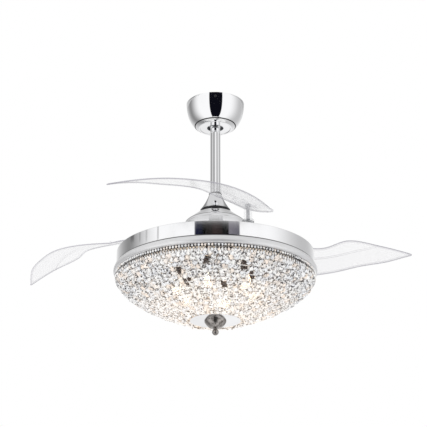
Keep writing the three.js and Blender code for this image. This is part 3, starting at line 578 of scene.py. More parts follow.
# Points (n, 3) and faces become a piece. Doubles closer than weld are merged, and edges sharper
# than crease degrees stay sharp.
def piece(name, points, faces, body, material, crease=32.0, weld=1e-6):
    mesh = bpy.data.meshes.new(name)
    mesh.from_pydata(points.tolist(), [], listed(faces))
    made = bpy.data.objects.new(name, mesh)
    bpy.context.collection.objects.link(made)
    work = bmesh.new()
    work.from_mesh(mesh)
    if weld:
        bmesh.ops.remove_doubles(work, verts=work.verts, dist=weld)
    bmesh.ops.dissolve_degenerate(work, edges=work.edges, dist=tiny)
    work.to_mesh(mesh)
    work.free()
    mesh.shade_smooth()
    mesh.set_sharp_from_angle(angle=math.radians(crease))
    mesh.materials.append(material)
    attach(made, body)
    return made


# A piece takes the place of a CAD node.
def standsFor(made, node):
    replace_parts(made, node)


# A number for each face or point, for a finish to read.
def addNumbers(made, name, domain, values):
    made.data.attributes.new(name, "FLOAT", domain).data.foreach_set("value", values.astype(np.float32))


# Quads of a grid of rows by columns of points, wrapped round where said.
def quads(rows, columns, wrapRows=False, wrapColumns=False):
    i = np.arange(rows if wrapRows else rows - 1)[:, None]
    j = np.arange(columns if wrapColumns else columns - 1)[None, :]
    a = i * columns + j
    b = i * columns + (j + 1) % columns
    c = ((i + 1) % rows) * columns + (j + 1) % columns
    d = ((i + 1) % rows) * columns + j
    return np.stack([a, b, c, d], axis=-1).reshape(-1, 4)


# A profile (n, 2) of radius and height turned round Z: point = (r cos a, r sin a, z).
# The profile goes anticlockwise in the plane of radius and height. It closes on itself unless its
# ends lie on the axis.
def turned(profile, steps=128, centre=(0, 0)):
    onAxis = profile[0, 0] < tiny
    angle = np.arange(steps) * tau / steps
    radius = profile[:, 0, None]
    x = centre[0] + radius * np.cos(angle)
    y = centre[1] + radius * np.sin(angle)
    z = profile[:, 1, None] + 0 * angle
    points = np.stack([x, y, z], axis=-1).reshape(-1, 3)
    return points, quads(len(profile), steps, wrapRows=not onAxis, wrapColumns=True)[:, ::-1]


# A row of points round Z: (r cos a, r sin a, z).
def circled(radius, angle, height):
    return np.stack([radius * np.cos(angle), radius * np.sin(angle), height + 0 * angle], axis=1)


# The profile of a plain ring.
def sleeve(bore, radius, foot, top):
    return [(bore, foot), (radius, foot), (radius, top), (bore, top)]


# A curve of three control points: (1-t)^2 a + 2t(1-t) b + t^2 c.
def bend(start, control, end, steps):
    t = np.linspace(0, 1, steps + 1)[:, None]
    a, b, c = (np.asarray(p, float) for p in (start, control, end))
    return (1 - t) ** 2 * a + 2 * t * (1 - t) * b + t**2 * c


softening = dict(longest=0.38, beyond=1.25)  # shares of an edge and of the reach


# The points of a polygon with each corner replaced by a short curve: from p - k to p + k along its
# two edges, by way of p. A point a little further off at both ends keeps the
# long sides flat when they are shaded smooth.
def softened(corners, reach, steps=3, closed=True):
    corners = np.asarray(corners, float)
    out = []
    last = len(corners) - 1
    for i, corner in enumerate(corners):
        if not closed and i in (0, last):
            out.append(corner[None])
            continue
        before = corners[i - 1] - corner
        after = corners[(i + 1) % len(corners)] - corner
        stepBack = before * min(reach / np.linalg.norm(before), softening["longest"])
        stepOn = after * min(reach / np.linalg.norm(after), softening["longest"])
        out.append((corner + softening["beyond"] * stepBack)[None])
        out.append(bend(corner + stepBack, corner, corner + stepOn, steps))
        out.append((corner + softening["beyond"] * stepOn)[None])
    return np.concatenate(out)


# The same curve moved to the left of its direction by a distance.
def beside(curve, distance):
    along = np.gradient(curve, axis=0)
    along /= np.linalg.norm(along, axis=1, keepdims=True)
    return curve + distance * np.stack([-along[:, 1], along[:, 0]], axis=1)


# How far along a curve each of its points lies.
def lengthAlong(curve):
    return np.concatenate([[0], np.cumsum(np.linalg.norm(np.diff(curve, axis=0), axis=1))])


# The points of a flat curve at given lengths along it.
def pointsAt(curve, lengths):
    length = lengthAlong(curve)
    return np.stack([np.interp(lengths, length, curve[:, k]) for k in (0, 1)], axis=1)


# A tube along a path (n, 3): point = path + radius (cos a side + sin a up), with side and up square
# to the path. Open paths get flat ends.
def tube(path, radius, around=10, closed=False):
    if closed:
        along = np.roll(path, -1, axis=0) - np.roll(path, 1, axis=0)
    else:
        along = np.gradient(path, axis=0)
    along /= np.linalg.norm(along, axis=1, keepdims=True)
    side = np.zeros_like(path)
    guide = np.array([0.0, 0.0, 1.0]) if abs(along[0, 2]) < 0.9 else np.array([1.0, 0.0, 0.0])
    side[0] = np.cross(guide, along[0])
    for i in range(1, len(path)):
        side[i] = side[i - 1] - along[i] * np.dot(side[i - 1], along[i])
        side[i] /= np.linalg.norm(side[i])
    side[0] /= np.linalg.norm(side[0])
    up = np.cross(along, side)
    angle = np.arange(around) * tau / around
    ring = np.cos(angle)[None, :, None] * side[:, None] + np.sin(angle)[None, :, None] * up[:, None]
    points = (path[:, None] + radius * ring).reshape(-1, 3)
    faces = quads(len(path), around, wrapRows=closed, wrapColumns=True).tolist()
    if not closed:
        faces.append(list(range(around))[::-1])
        faces.append([len(points) - around + k for k in range(around)])
    return points, faces


# Several (points, faces) as one.
def together(parts):
    points, faces, offset = [], [], 0
    for somePoints, someFaces in parts:
        points.append(somePoints)
        faces += [[index + offset for index in face] for face in listed(someFaces)]
        offset += len(somePoints)
    return np.concatenate(points), faces


def placed(points, spot, turn=0.0):
    c, s = math.cos(turn), math.sin(turn)
    spin = np.array([[c, s, 0], [-s, c, 0], [0, 0, 1]])
    return points @ spin + np.asarray(spot)


def roundPiece(name, profile, body, material, node, steps=128, crease=32.0):
    points, faces = turned(np.asarray(profile), steps)
    standsFor(piece(name, points, faces, body, material, crease), node)


# ---- canopy: a floor ring, then a side that bends up to an upright rim, and a dark ring on the side,
# from one length up the side to another, that is painted shade at the canopy's foot
canopy = dict(
    hole=0.022,
    floor=0.041,
    floorRound=0.003,
    ledge=0.0015,
    ledgeEdge=0.001,
    step=0.0016,
    bulge=(0.0745, -0.055),
    wall=0.0012,
    shadowBand=(0.0108, 0.0138),
    shadowBandDeep=0.0003,
    sideSteps=40,
    shadowBandSteps=6,
    around=160,
)


def makeCanopy():
    radius, top, foot = roundSize("canopy")
    hole, floor, wall = canopy["hole"], canopy["floor"], canopy["wall"]
    stepped = foot + canopy["step"]
    side = bend((floor + canopy["floorRound"], foot), canopy["bulge"], (radius, top), canopy["sideSteps"])
    ledge = [(hole, stepped), (floor - canopy["ledge"], stepped), (floor, foot)]
    outer = np.concatenate([softened(ledge, canopy["ledgeEdge"], closed=False), side])
    inner = beside(outer, wall)[::-1]
    inner[0] = (radius - wall, top)
    inner[-1] = (hole, stepped + wall)
    profile = np.concatenate([outer, inner])
    roundPiece("canopyShell", profile, ceiling, chrome, "canopy", canopy["around"])
    # a thin dark ring of painted shade round the canopy's side
    line = pointsAt(side, np.linspace(*canopy["shadowBand"], canopy["shadowBandSteps"] + 1))
    strip = np.concatenate([beside(line, -canopy["shadowBandDeep"]), beside(line, canopy["shadowBandDeep"])[::-1]])
    points, faces = turned(strip, canopy["around"])
    piece("canopyShadowBand", points, faces, ceiling, blackRubber)


makeCanopy()

# ---- downrod: a smooth pipe
downrod = dict(bore=0.0105, edge=0.0005, around=96)


def makeDownrod():
    radius, top, foot = roundSize("downrod")
    profile = softened(sleeve(downrod["bore"], radius, foot, top), downrod["edge"])
    roundPiece("downrodPipe", profile, hanging, chrome, "downrod", downrod["around"])


makeDownrod()

# ---- hanger ball: a smooth ball with the downrod's bore
hangerBall = dict(radius=0.025, bore=0.01365, drop=-0.044, rows=40, around=64)


def makeHangerBall():
    ball = hangerBall["radius"]
    reach = math.asin(hangerBall["bore"] / ball)
    angle = np.linspace(-math.pi / 2 + reach, math.pi / 2 - reach, hangerBall["rows"])
    outer = np.stack([ball * np.cos(angle), hangerBall["drop"] + ball * np.sin(angle)], axis=1)
    roundPiece("hangerBallTurned", outer, hanging, zinc, "hanger_ball", hangerBall["around"])


makeHangerBall()

# ---- coupling cover: a cone that flares from the rod, its top ring and the ring in the gap
couplingCover = dict(
    bore=0.01365,
    top=0.0167,
    topEdge=0.0006,
    flare=(0.28, 0.49),  # shares of the way out and of the way down
    wall=0.0012,
    footWalls=1.4,
    steps=40,
)


def makeCouplingCover():
    radius, top, foot = roundSize("coupling_cover")
    narrow, bore, wall = couplingCover["top"], couplingCover["bore"], couplingCover["wall"]
    outwards, down = couplingCover["flare"]
    middle = (narrow + (radius - narrow) * outwards, top + (foot - top) * down)
    edge = couplingCover["topEdge"]
    outer = bend((radius, foot), middle, (narrow, top - edge), couplingCover["steps"])
    lip = [(narrow - edge, top), (bore, top)]
    inner = beside(outer, wall)[::-1]
    inner[0] = (bore, top - wall)
    inner[-1] = (radius - couplingCover["footWalls"] * wall, foot)
    profile = np.concatenate([outer, lip, inner])
    roundPiece("couplingCone", profile, hanging, chrome, "coupling_cover")


makeCouplingCover()

# the gap ring reaches down to just over the motor cover, so it is taller than its node
rings = dict(edge=0.0008, waist=0.6, gapBore=0.0173, gapLift=0.0004, around=96)


def makeRings():
    radius, top, foot = roundSize("cover_top_ring")
    bore = couplingCover["bore"]
    waist = foot + rings["waist"] * (top - foot)
    collar = [(bore, foot), (radius, foot), (radius, waist), ((bore + radius) / 2, top), (bore, top)]
    gapFoot = topOf("upper_motor_cover") + rings["gapLift"]
    gap = sleeve(rings["gapBore"], radiusOf("cover_gap_ring"), gapFoot, topOf("cover_gap_ring"))
    edge, around = rings["edge"], rings["around"]
    roundPiece("coneCollar", softened(collar, edge), hanging, blackRubber, "cover_top_ring", around)
    roundPiece("gapRing", softened(gap, edge), hanging, blackRubber, "cover_gap_ring", around)


makeRings()

# ---- upper motor cover: a flared dish, and the two shells of the motor under it. Second numbers of
# pairs, and shoulders, are depths under the top.
motorCover = dict(
    neck=0.041,
    wall=0.0012,
    hole=0.014,
    middle=(0.053, 0.0095),
    end=(0.071, 0.0235),
    shoulderMiddle=0.0295,
    shoulder=0.036,
    skirtGap=0.0006,
    shoulderSteps=16,
    flareSteps=28,
    around=160,
)


def makeMotorCover():
    radius, top, foot = roundSize("upper_motor_cover")
    neck, wall, hole = motorCover["neck"], motorCover["wall"], motorCover["hole"]
    end, middle = ((across, top - depth) for across, depth in (motorCover["end"], motorCover["middle"]))
    shoulderFoot = top - motorCover["shoulder"]
    shoulderMiddle = top - motorCover["shoulderMiddle"]
    shoulder = bend((radius, shoulderFoot), (radius, shoulderMiddle), end, motorCover["shoulderSteps"])
    flare = bend(end, middle, (neck, top), motorCover["flareSteps"])
    skirt = [(radius, foot), (radius, shoulderFoot - motorCover["skirtGap"])]
    outer = np.concatenate([skirt, shoulder, flare[1:]])
    inner = beside(outer, wall)[::-1]
    inner[0] = (neck - wall / 2, top - wall)
    inner[-1] = (radius - wall, foot)
    profile = np.concatenate([outer, [(hole, top), (hole, top - wall)], inner])
    roundPiece("motorBell", profile, rotor, chrome, "upper_motor_cover", motorCover["around"])


makeMotorCover()
motorShell = dict(wall=0.0025, split=0.037, neck=0.024, hole=0.014, edge=0.0012)


def makeMotorShells():
    radius, top, foot = roundSize("rotor_lower_shell")
    wall, neck, hole = motorShell["wall"], motorShell["neck"], motorShell["hole"]
    inner = radius - wall
    floor = foot + wall
    lower = [(hole, foot), (radius, foot), (radius, top), (inner, top), (inner, floor), (hole, floor)]
    roundPiece("motorShellFoot", softened(lower, motorShell["edge"]), rotor, zinc, "rotor_lower_shell")
    _, top, foot = roundSize("rotor_upper_shell")
    shoulder = foot + motorShell["split"]
    under = shoulder - wall
    upper = [(hole, under), (inner, under), (inner, foot), (radius, foot),
             (radius, shoulder), (neck, shoulder), (neck, top), (hole, top)]
    roundPiece("motorShellTop", softened(upper, motorShell["edge"]), rotor, zinc, "rotor_upper_shell")


makeMotorShells()
print("canopy, rod and motor made")

# ---- light drum: band, lip and pan
drum = dict(
    wall=0.0015,
    bandEdge=0.0007,
    lipInset=0.0125,
    lipBulge=(0.01275, 0.004),
    lipCrease=50.0,
    lipSteps=28,
    panSheet=0.0015,
    panHole=0.0103,
    panEdge=0.0008,
    around=256,
    panAround=192,
)


def makeDrum():
    radius, top, foot = roundSize("drum_band")
    band = softened(sleeve(radius - drum["wall"], radius, foot, top), drum["bandEdge"])
    roundPiece("drumBand", band, hanging, chrome, "drum_band", drum["around"])
    top, foot = topOf("lip_ring"), footOf("lip_ring")
    inside = radius - drum["lipInset"]
    bulge = (radius + drum["lipBulge"][0], foot + drum["lipBulge"][1])
    swell = bend((radiusOf("bead_trim") - drum["wall"], foot), bulge, (radius, top), drum["lipSteps"])
    lip = np.concatenate([[(inside, foot)], swell, [(inside, top)]])
    roundPiece("drumLip", lip, hanging, satinChrome, "lip_ring", drum["around"], drum["lipCrease"])


def makePan():
    radius, top, foot = roundSize("lamp_pan")
    hole, under, inner = drum["panHole"], top - drum["panSheet"], radius - drum["panSheet"]
    pan = [(hole, under), (inner, under), (inner, foot), (radius, foot), (radius, top), (hole, top)]
    rounded = softened(pan, drum["panEdge"])
    roundPiece("lampPan", rounded, hanging, whitePaint, "lamp_pan", drum["panAround"])


makeDrum()
makePan()


# ---- crystals
# A cut stone of rings (radius, height, part of a step that the ring is turned by), with a flat face
# at both ends: point = (r cos a, r sin a, z). Between a straight and a turned ring the faces are
# triangles.
def gem(corners, levels):
    step = tau / corners
    layers, faces = [], []
    for level, (r, z, half) in enumerate(levels):
        layers.append(circled(r, (np.arange(corners) + half) * step, z))
        if level:
            low, up = (level - 1) * corners, level * corners
            for k in range(corners):
                on = (k + 1) % corners
                if half == levels[level - 1][2]:
                    faces.append([low + k, low + on, up + on, up + k])
                elif half:
                    faces += [[low + k, low + on, up + k], [low + on, up + on, up + k]]
                else:
                    faces += [[low + k, up + on, up + k], [low + k, low + on, up + on]]
    points = np.concatenate(layers)
    faces.append(list(range(corners))[::-1])
    faces.append([len(points) - corners + k for k in range(corners)])
    return points, faces


# Copies of one shape: each point is spot + size * (x e1 + y e2 + z e3), with axes for each copy.
def scattered(shape, spots, axes, sizes):
    points, faces = shape
    moved = np.einsum("nk,mkd->mnd", points, axes) * sizes[:, None, None] + spots[:, None]
    count = len(points)
    shifted = [[index + copy * count for index in face] for copy in range(len(spots)) for face in faces]
    return moved.reshape(-1, 3), shifted


# A copy's tone is random. A face's facet number is random too, higher, which is darker, the more the
# face turns from the copy's third axis, and shade is added to it. The darker facets are painted
# reflections and shade.
def withTones(made, copies, seed, axes, opened=0.0, steep=0.3, shade=0.0):
    local = np.random.default_rng(seed)
    perCopy = len(made.data.polygons) // copies
    normals = np.zeros(len(made.data.polygons) * 3)
    made.data.polygons.foreach_get("normal", normals)
    aside = 1 - np.abs(np.sum(normals.reshape(copies, perCopy, 3) * axes[:, None, 2], axis=2))
    facets = (1 - steep) * local.random((copies, perCopy)) + steep * aside + shade
    addNumbers(made, "tone", "FACE", np.repeat(local.random(copies), perCopy))
    addNumbers(made, "facet", "FACE", facets.ravel())
    addNumbers(made, "open", "FACE", np.repeat(opened + np.zeros(copies), perCopy))


bowl = dict(bulge=(0.0011, 0.0519), footOverPlate=0.016, head=0.0165, steps=400)


# The bowl's outer curve from its rim to its foot, evenly spaced by length, less a margin at the rim.
def bowlCurve(count, head=0.0):
    rim, top, foot = roundSize("crystal_bowl")
    bulge = (rim - bowl["bulge"][0], top - bowl["bulge"][1])
    end = (radiusOf("bottom_plate") + bowl["footOverPlate"], foot)
    curve = bend((rim, top), bulge, end, bowl["steps"])
    whole = lengthAlong(curve)[-1]
    return pointsAt(curve, np.linspace(head, whole, count)), whole - head


lampSight = dict(underHolder=0.006, holderReach=0.011, bulbReach=0.012, bulbOpen=0.6)


# 1 for the crystals that lie within reach of a line from a lamp holder to where the fan is looked at
# from, and less for those before a bulb: they are the clear ones, and what is behind shows through.
def beforeLamps(spots):
    opened = np.zeros(len(spots))
    for number in lampNumbers:
        under = centreOf("lamp_holder_%d" % number) - np.array([0, 0, lampSight["underHolder"]])
        bulb = centreOf("bulb_%d" % number)
        for start, clear, reach in (
            (under, 1.0, lampSight["holderReach"]),
            (bulb, lampSight["bulbOpen"], lampSight["bulbReach"]),
        ):
            line = np.array(view["spot"]) - start
            line /= np.linalg.norm(line)
            off = np.linalg.norm(np.cross(spots - start, line), axis=1)
            opened = np.maximum(opened, clear * (off < reach))
    return opened


crystals = dict(
    across=0.0148,
    spacing=0.0128,
    rowShare=0.88,  # of the spacing, from row to row
    sink=0.0062,  # the outer layer's, inwards from the bowl's curve
    innerSink=0.0085,  # more of it
    innerSpacing=1.12,
    stray=0.06,  # of the spacing
    rise=0.0009,
    tilt=0.175,
    sizes=(0.88, 1.05),
    fewest=6,
    corners=8,
    # rings of a crystal that is one unit across: table, crown, girdle, pavilion and culet
    cut=[(0.2, -0.34, 0), (0.4, -0.2, 0.5), (0.5, 0, 0), (0.36, 0.2, 0.5), (0.12, 0.34, 0)],
    seeds=(3, 5),  # of the outer and the inner layer
)


# Rows of crystals round the bowl: a row at each even step of the curve, staggered half a spacing,
# and each crystal's third axis inwards along the bowl's own normal, leant over a little.
def crystalLayer(name, sink, spacing, shape, seed):
    _, length = bowlCurve(2, bowl["head"])
    rows = int(length / (spacing * crystals["rowShare"]))
    curve, _ = bowlCurve(rows, bowl["head"])
    inwards = curve - beside(curve, 1.0)
    spotRows, axisRows = [], []
    local = np.random.default_rng(seed)
    for row in range(rows):
        inward = inwards[row]
        r, z = curve[row] + sink * inward
        count = max(int(tau * r / spacing), crystals["fewest"])
        stray = local.normal(0, crystals["stray"], count) * spacing / r
        angle = (np.arange(count) + 0.5 * (row % 2)) * tau / count + stray
        spotRows.append(circled(r, angle, z + local.normal(0, crystals["rise"], count)))
        e3 = circled(inward[0], angle, inward[1])
        e3 = e3 + local.normal(0, crystals["tilt"], e3.shape)
        e3 /= np.linalg.norm(e3, axis=1, keepdims=True)
        e1 = np.stack([-np.sin(angle), np.cos(angle), 0 * angle], axis=1)
        e1 = e1 - e3 * np.sum(e1 * e3, axis=1, keepdims=True)
        e1 /= np.linalg.norm(e1, axis=1, keepdims=True)
        spin = local.uniform(0, tau, count)[:, None]
        e1 = np.cos(spin) * e1 + np.sin(spin) * np.cross(e3, e1)
        axisRows.append(np.stack([e1, np.cross(e3, e1), e3], axis=1))
    spots = np.concatenate(spotRows)
    axes = np.concatenate(axisRows)
    sizes = crystals["across"] * local.uniform(*crystals["sizes"], len(spots))
    points, faces = scattered(shape, spots, axes, sizes)
    made = piece(name, points, faces, hanging, crystal, crease=1.0, weld=0)
    withTones(made, len(spots), seed, axes, beforeLamps(spots))
    print(name, len(spots), "crystals", len(made.data.polygons), "faces")
    return made


def makeCrystals():
    octagon = gem(crystals["corners"], crystals["cut"])
    sink, spacing = crystals["sink"], crystals["spacing"]
    outerSeed, innerSeed = crystals["seeds"]
    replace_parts(crystalLayer("bowlCrystalsOuter", sink, spacing, octagon, outerSeed), "crystal_bowl")
    sink, spacing = sink + crystals["innerSink"], spacing * crystals["innerSpacing"]
    crystalLayer("bowlCrystalsInner", sink, spacing, octagon, innerSeed)


makeCrystals()

# ---- the row of small beads under the lip, a dark ring behind it as painted shade in the gaps between the beads, and the drops under it
beads = dict(
    count=200,
    across=0.0062,
    tall=0.0072,
    dropTall=0.0125,
    steep=0.4,
    # shadeAbove and dropShade give painted shade from the lip on the beads' upper facets
    shadeAbove=0.12,  # of a bead's height, over its middle
    dropShade=0.36,
    shadowRing=(0.0082, 0.0068),  # inwards from the bead trim's outside
    shadowRingFoot=0.0012,
    corners=6,
    cut=[(0.16, -0.42, 0), (0.5, -0.1, 0.5), (0.5, 0.1, 0.5), (0.16, 0.42, 0)],
    seeds=(7, 8),  # of the row and of the drops
)


# Beads on a circle, each stretched along the height: its third axis points outwards. Shade is painted
# shade from the lip, which darkens the facets of a bead's upper part.
def beadRing(name, radius, height, tall, seed, shade):
    count = beads["count"]
    angle = np.arange(count) * tau / count
    upright = circled(0, angle, tall / beads["across"])
    across = np.stack([-np.sin(angle), np.cos(angle), 0 * angle], axis=1)
    axes = np.stack([upright, across, circled(1, angle, 0)], axis=1)
    spots = circled(radius, angle, height)
    sizes = np.full(count, beads["across"])
    points, faces = scattered(gem(beads["corners"], beads["cut"]), spots, axes, sizes)
    made = piece(name, points, faces, hanging, crystal, crease=1.0, weld=0)
    middles = np.zeros(len(made.data.polygons) * 3)
    made.data.polygons.foreach_get("center", middles)
    shaded = (middles[2::3] > height + beads["shadeAbove"] * tall).reshape(count, -1) * shade
    withTones(made, count, seed, axes, steep=beads["steep"], shade=shaded)
    return made


def makeBeads():
    radius, top, foot = roundSize("bead_trim")
    inset = beads["across"] * 0.5
    rowSeed, dropSeed = beads["seeds"]
    row = beadRing("beadRow", radius - inset, (top + foot) / 2, beads["tall"], rowSeed, 0.0)
    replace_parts(row, "bead_trim")
    # a dark ring behind the bead row: painted shade that shows between the beads
    inner, outer = (radius - depth for depth in beads["shadowRing"])
    points, faces = turned(np.array(sleeve(inner, outer, foot + beads["shadowRingFoot"], top)), beads["count"])
    piece("beadShadowRing", points, faces, hanging, blackOxide)
    radius, top, _ = roundSize("crystal_bowl")
    tall = beads["dropTall"]
    beadRing("beadDrops", radius - inset, top - tall / 2, tall, dropSeed, beads["dropShade"])


makeBeads()

# ---- the wire frame behind the crystals
basket = dict(wire=0.0011, rings=9, ribs=16, inset=0.0155, ringSteps=128, ribSteps=30, around=6)


def makeBasket():
    wire = basket["wire"]
    angle = np.arange(basket["ringSteps"]) * tau / basket["ringSteps"]
    parts = []
    for r, z in beside(bowlCurve(basket["rings"])[0], -basket["inset"]):
        parts.append(tube(circled(r, angle, z), wire, basket["around"], closed=True))
    rib = beside(bowlCurve(basket["ribSteps"])[0], -basket["inset"] - wire)
    for k in range(basket["ribs"]):
        path = circled(rib[:, 0], k * tau / basket["ribs"], rib[:, 1])
        parts.append(tube(path, wire, basket["around"]))
    points, faces = together(parts)
    standsFor(piece("basketWires", points, faces, hanging, chrome), "basket_frame")


makeBasket()
print("drum and bowl made")

# ---- bottom plate and finial: a ball, a neck and a cone that bends out to an upright rim
finial = dict(
    neck=0.0045,
    ball=0.0083,
    cone=0.018,
    coneFoot=0.0115,
    coneBulge=(0.006, 0.004),
    rim=0.002,
    bore=0.0053,
    deep=0.008,
    ballRows=20,
    coneSteps=24,
    around=96,
    plateEdge=0.0008,
)


def makeBottom():
    bore, ballRadius = finial["bore"], finial["ball"]
    radius, top, foot = roundSize("bottom_plate")
    plate = softened(sleeve(bore, radius, foot, top), finial["plateEdge"])
    roundPiece("bottomPlate", plate, hanging, chrome, "bottom_plate")
    radius, top, foot = roundSize("finial")
    coneFoot = top - finial["cone"]
    angle = np.linspace(-math.pi / 2, math.acos(finial["neck"] / ballRadius), finial["ballRows"])
    ball = np.stack([ballRadius * np.cos(angle), foot + ballRadius + ballRadius * np.sin(angle)], axis=1)
    ball[0, 0] = 0
    bulge = (radius - finial["coneBulge"][0], coneFoot + finial["coneBulge"][1])
    cone = bend((finial["coneFoot"], coneFoot), bulge, (radius, top - finial["rim"]), finial["coneSteps"])
    floor = top - finial["deep"]
    socket = [(radius, top), (bore, top), (bore, floor), (0, floor)]
    profile = np.concatenate([ball, [(finial["neck"], coneFoot)], cone, socket])
    roundPiece("finialTurned", profile, hanging, darkNickel, "finial", finial["around"])


makeBottom()

# ---- lamps: a cup on a stem, and a candle bulb that hangs from it
lamp = dict(
    stem=0.0045,
    cup=0.013,
    cupTall=0.032,
    edge=0.0012,
    bulb=0.017,
    swell=0.001,
    swellAt=0.62,  # of the bulb's height, under its top
    shoulder=0.02,
    neck=(0.7, 0.55),  # of the bulb's radius
    neckTall=0.006,
    bulbCrease=60.0,
    flameSteps=20,
    around=40,
)


def makeLamps():
    stem, cup, wide = lamp["stem"], lamp["cup"], lamp["bulb"]
    low, high = (wide * share for share in lamp["neck"])
    for number in lampNumbers:
        node = "lamp_holder_%d" % number
        centre = centreOf(node)[:2]
        top, foot = topOf(node), footOf(node)
        cupTop = foot + lamp["cupTall"]
        profile = [(0, foot), (cup, foot), (cup, cupTop), (stem, cupTop), (stem, top), (0, top)]
        points, faces = turned(softened(profile, lamp["edge"], closed=False), lamp["around"], centre)
        standsFor(piece("lampHolder%d" % number, points, faces, hanging, brownPhenolic), node)
        node = "bulb_%d" % number
        top, foot = topOf(node), footOf(node)
        control = (wide + lamp["swell"], top - lamp["swellAt"] * (top - foot))
        flame = bend((0, foot), control, (wide, top - lamp["shoulder"]), lamp["flameSteps"])
        profile = np.concatenate([flame, [(low, top - lamp["neckTall"]), (high, top), (0, top)]])
        points, faces = turned(profile, lamp["around"], centre)
        standsFor(piece("candleBulb%d" % number, points, faces, hanging, litGlass, lamp["bulbCrease"]), node)


makeLamps()
print("lamps made")

# ---- blades
# A blade's own frame has its pivot at the origin, x towards the tip and y outwards. Its outline is
# two curves of (share of the length, millimetres outwards), its long crease is a third, and a point
# (u, v) of it lies at (u, v cos p, arch 4 s (1 - s) - drop s - v sin p), with s = u / length and the
# pitch p in degrees, from root to tip.
blade = dict(
    length=0.398,
    thick=0.004,
    rootPitch=18.0,
    tipPitch=11.2,
    drop=0.0366,
    arch=0.0295,
    outer=[(-0.095, 34), (-0.07, 66), (0, 90), (0.2, 121),
           (0.4, 125.5), (0.6, 101.5), (0.8, 67.5), (0.995, 3)],
    inner=[(-0.095, 8), (-0.07, -9), (0, -15), (0.2, -17),
           (0.4, 4), (0.6, -29), (0.8, -14.5), (0.995, -3)],
    ridge=[(-0.095, 30), (0, 36), (0.16, 42), (0.32, 48.5), (0.39, 50), (0.46, 46),
           (0.53, 37.5), (0.61, 24), (0.72, 2.5), (0.8, -22), (0.995, -90)],
    ridgeWidth=(1.25, 1.1),  # millimetres at the root, and how much less of it at the tip
    rim=0.0022,  # the width over which the edge is rounded
    edgeBand=0.009,
    gather=(0.35, 0.8),  # how far the grid's lines gather at the ends, along and across
    grid=(180, 48),
    ridgeSteps=400,
    crease=50.0,
    pivotRadius=0.218,
    height=-0.3798,
    azimuths=dict(right=51.0, front=-69.0, left=171.0),
    turnedIn=dict(right=70.8, front=74.5, left=31.5),
)


# A smooth curve through points: uniform Catmull-Rom, t from 0 to 1 over all of them.
def through(points, t):
    points = np.asarray(points, float)
    last = len(points) - 1
    at = np.clip(t * last, 0, last - 1e-9)
    i = at.astype(int)
    w = (at - i)[:, None]
    p0, p1 = points[np.maximum(i - 1, 0)], points[i]
    p2, p3 = points[np.minimum(i + 1, last)], points[np.minimum(i + 2, last)]
    v0, v1 = (p2 - p0) / 2, (p3 - p1) / 2
    return (2 * p1 - 2 * p2 + v0 + v1) * w**3 + (-3 * p1 + 3 * p2 - 2 * v0 - v1) * w**2 + v0 * w + p1


def bladeSurface(u, v):
    share = np.maximum(u / blade["length"], 0)
    pitch = np.radians(blade["rootPitch"] + (blade["tipPitch"] - blade["rootPitch"]) * share)
    rise = blade["arch"] * 4 * share * (1 - share)
    return np.stack([u, v * np.cos(pitch), rise - blade["drop"] * share - v * np.sin(pitch)], axis=-1)


# The points above and below a surface, by a height of their own.
def bothSides(surface, middle, height):
    up = np.array([0, 0, 1.0])
    sheets = [surface - middle * up + side * height * up for side in (1, -1)]
    return np.concatenate([sheet.reshape(-1, 3) for sheet in sheets])


# Steps from 0 to 1: a share of them is 0.5 - 0.5 cos a, which gathers at both ends, the rest even.
def gathered(count, share):
    eased = 0.5 - 0.5 * np.cos(np.linspace(0, math.pi, count))
    return eased * share + np.linspace(0, 1, count) * (1 - share)


# 0 at the rim and 1 from rim on: sqrt(1 - (1 - q / rim)^2).
def roundedRim(q):
    return np.sqrt(np.maximum(1 - (1 - np.clip(q / blade["rim"], 0, 1)) ** 2, 0))


# A sheet between the two outlines: point = inner + w (outer - inner), with half the thickness above
# and below it, which falls to nothing at the rim.
def bladeSkin():
    length = blade["length"]
    along, across = blade["grid"]
    s = gathered(along, blade["gather"][0])
    w = gathered(across, blade["gather"][1])
    inner, outer = (
        through([(share * length, out * millimetre) for share, out in knots], s)
        for knots in (blade["inner"], blade["outer"])
    )
    sheet = inner[:, None] + (outer - inner)[:, None] * w[None, :, None]
    u, v = sheet[..., 0], sheet[..., 1]
    fromSide = np.minimum(w, 1 - w)[None] * np.linalg.norm(outer - inner, axis=1)[:, None]
    run = lengthAlong((inner + outer) / 2)
    fromEnd = np.minimum(run, run[-1] - run)[:, None]
    half = blade["thick"] / 2 * roundedRim(fromSide) * roundedRim(fromEnd)
    points = bothSides(bladeSurface(u, v), 0.0, half[..., None])
    faces = quads(along, across)
    edge = np.clip(1 - np.minimum(fromSide, fromEnd).ravel() / blade["edgeBand"], 0, 1)
    even = np.linspace(0, 1, blade["ridgeSteps"])
    crease = through([(share * length, out) for share, out in blade["ridge"]], even)
    wide, less = blade["ridgeWidth"]
    width = wide - less * np.clip(u / length, 0, 1)
    way = (v / millimetre - np.interp(u, crease[:, 0], crease[:, 1])) / width
    numbers = dict(edge=np.tile(edge, 2), ridge=np.tile(way.ravel() + ridgeZero, 2))
    return points, np.concatenate([faces[:, ::-1], faces + along * across]), numbers


holder = dict(
    centre=(0.024, 0.02),
    half=(0.039, 0.033),
    inset=0.97,
    sheet=0.003,
    gap=0.0003,
    corner=4.0,
    edge=0.35,
    bore=0.0043,
    boss=0.010,
    bossTop=0.0044,
    bossEdge=0.0006,
    flange=0.016,
    flangeLift=0.0003,
    flangeTall=0.002,
    rivets=[(0.050, 0.008), (0.044, 0.040), (0.008, 0.041)],
    rivetStem=0.0022,
    rivetFoot=-0.004,
    rivetUnder=0.0019,
    rivetHead=[(0.0044, 0.0), (0.0040, 0.0012), (0.002, 0.0018), (0, 0.0018)],
    rivetEdge=0.0004,
    circles=10,
    plateAround=64,
    bossAround=48,
    rivetAround=24,
)


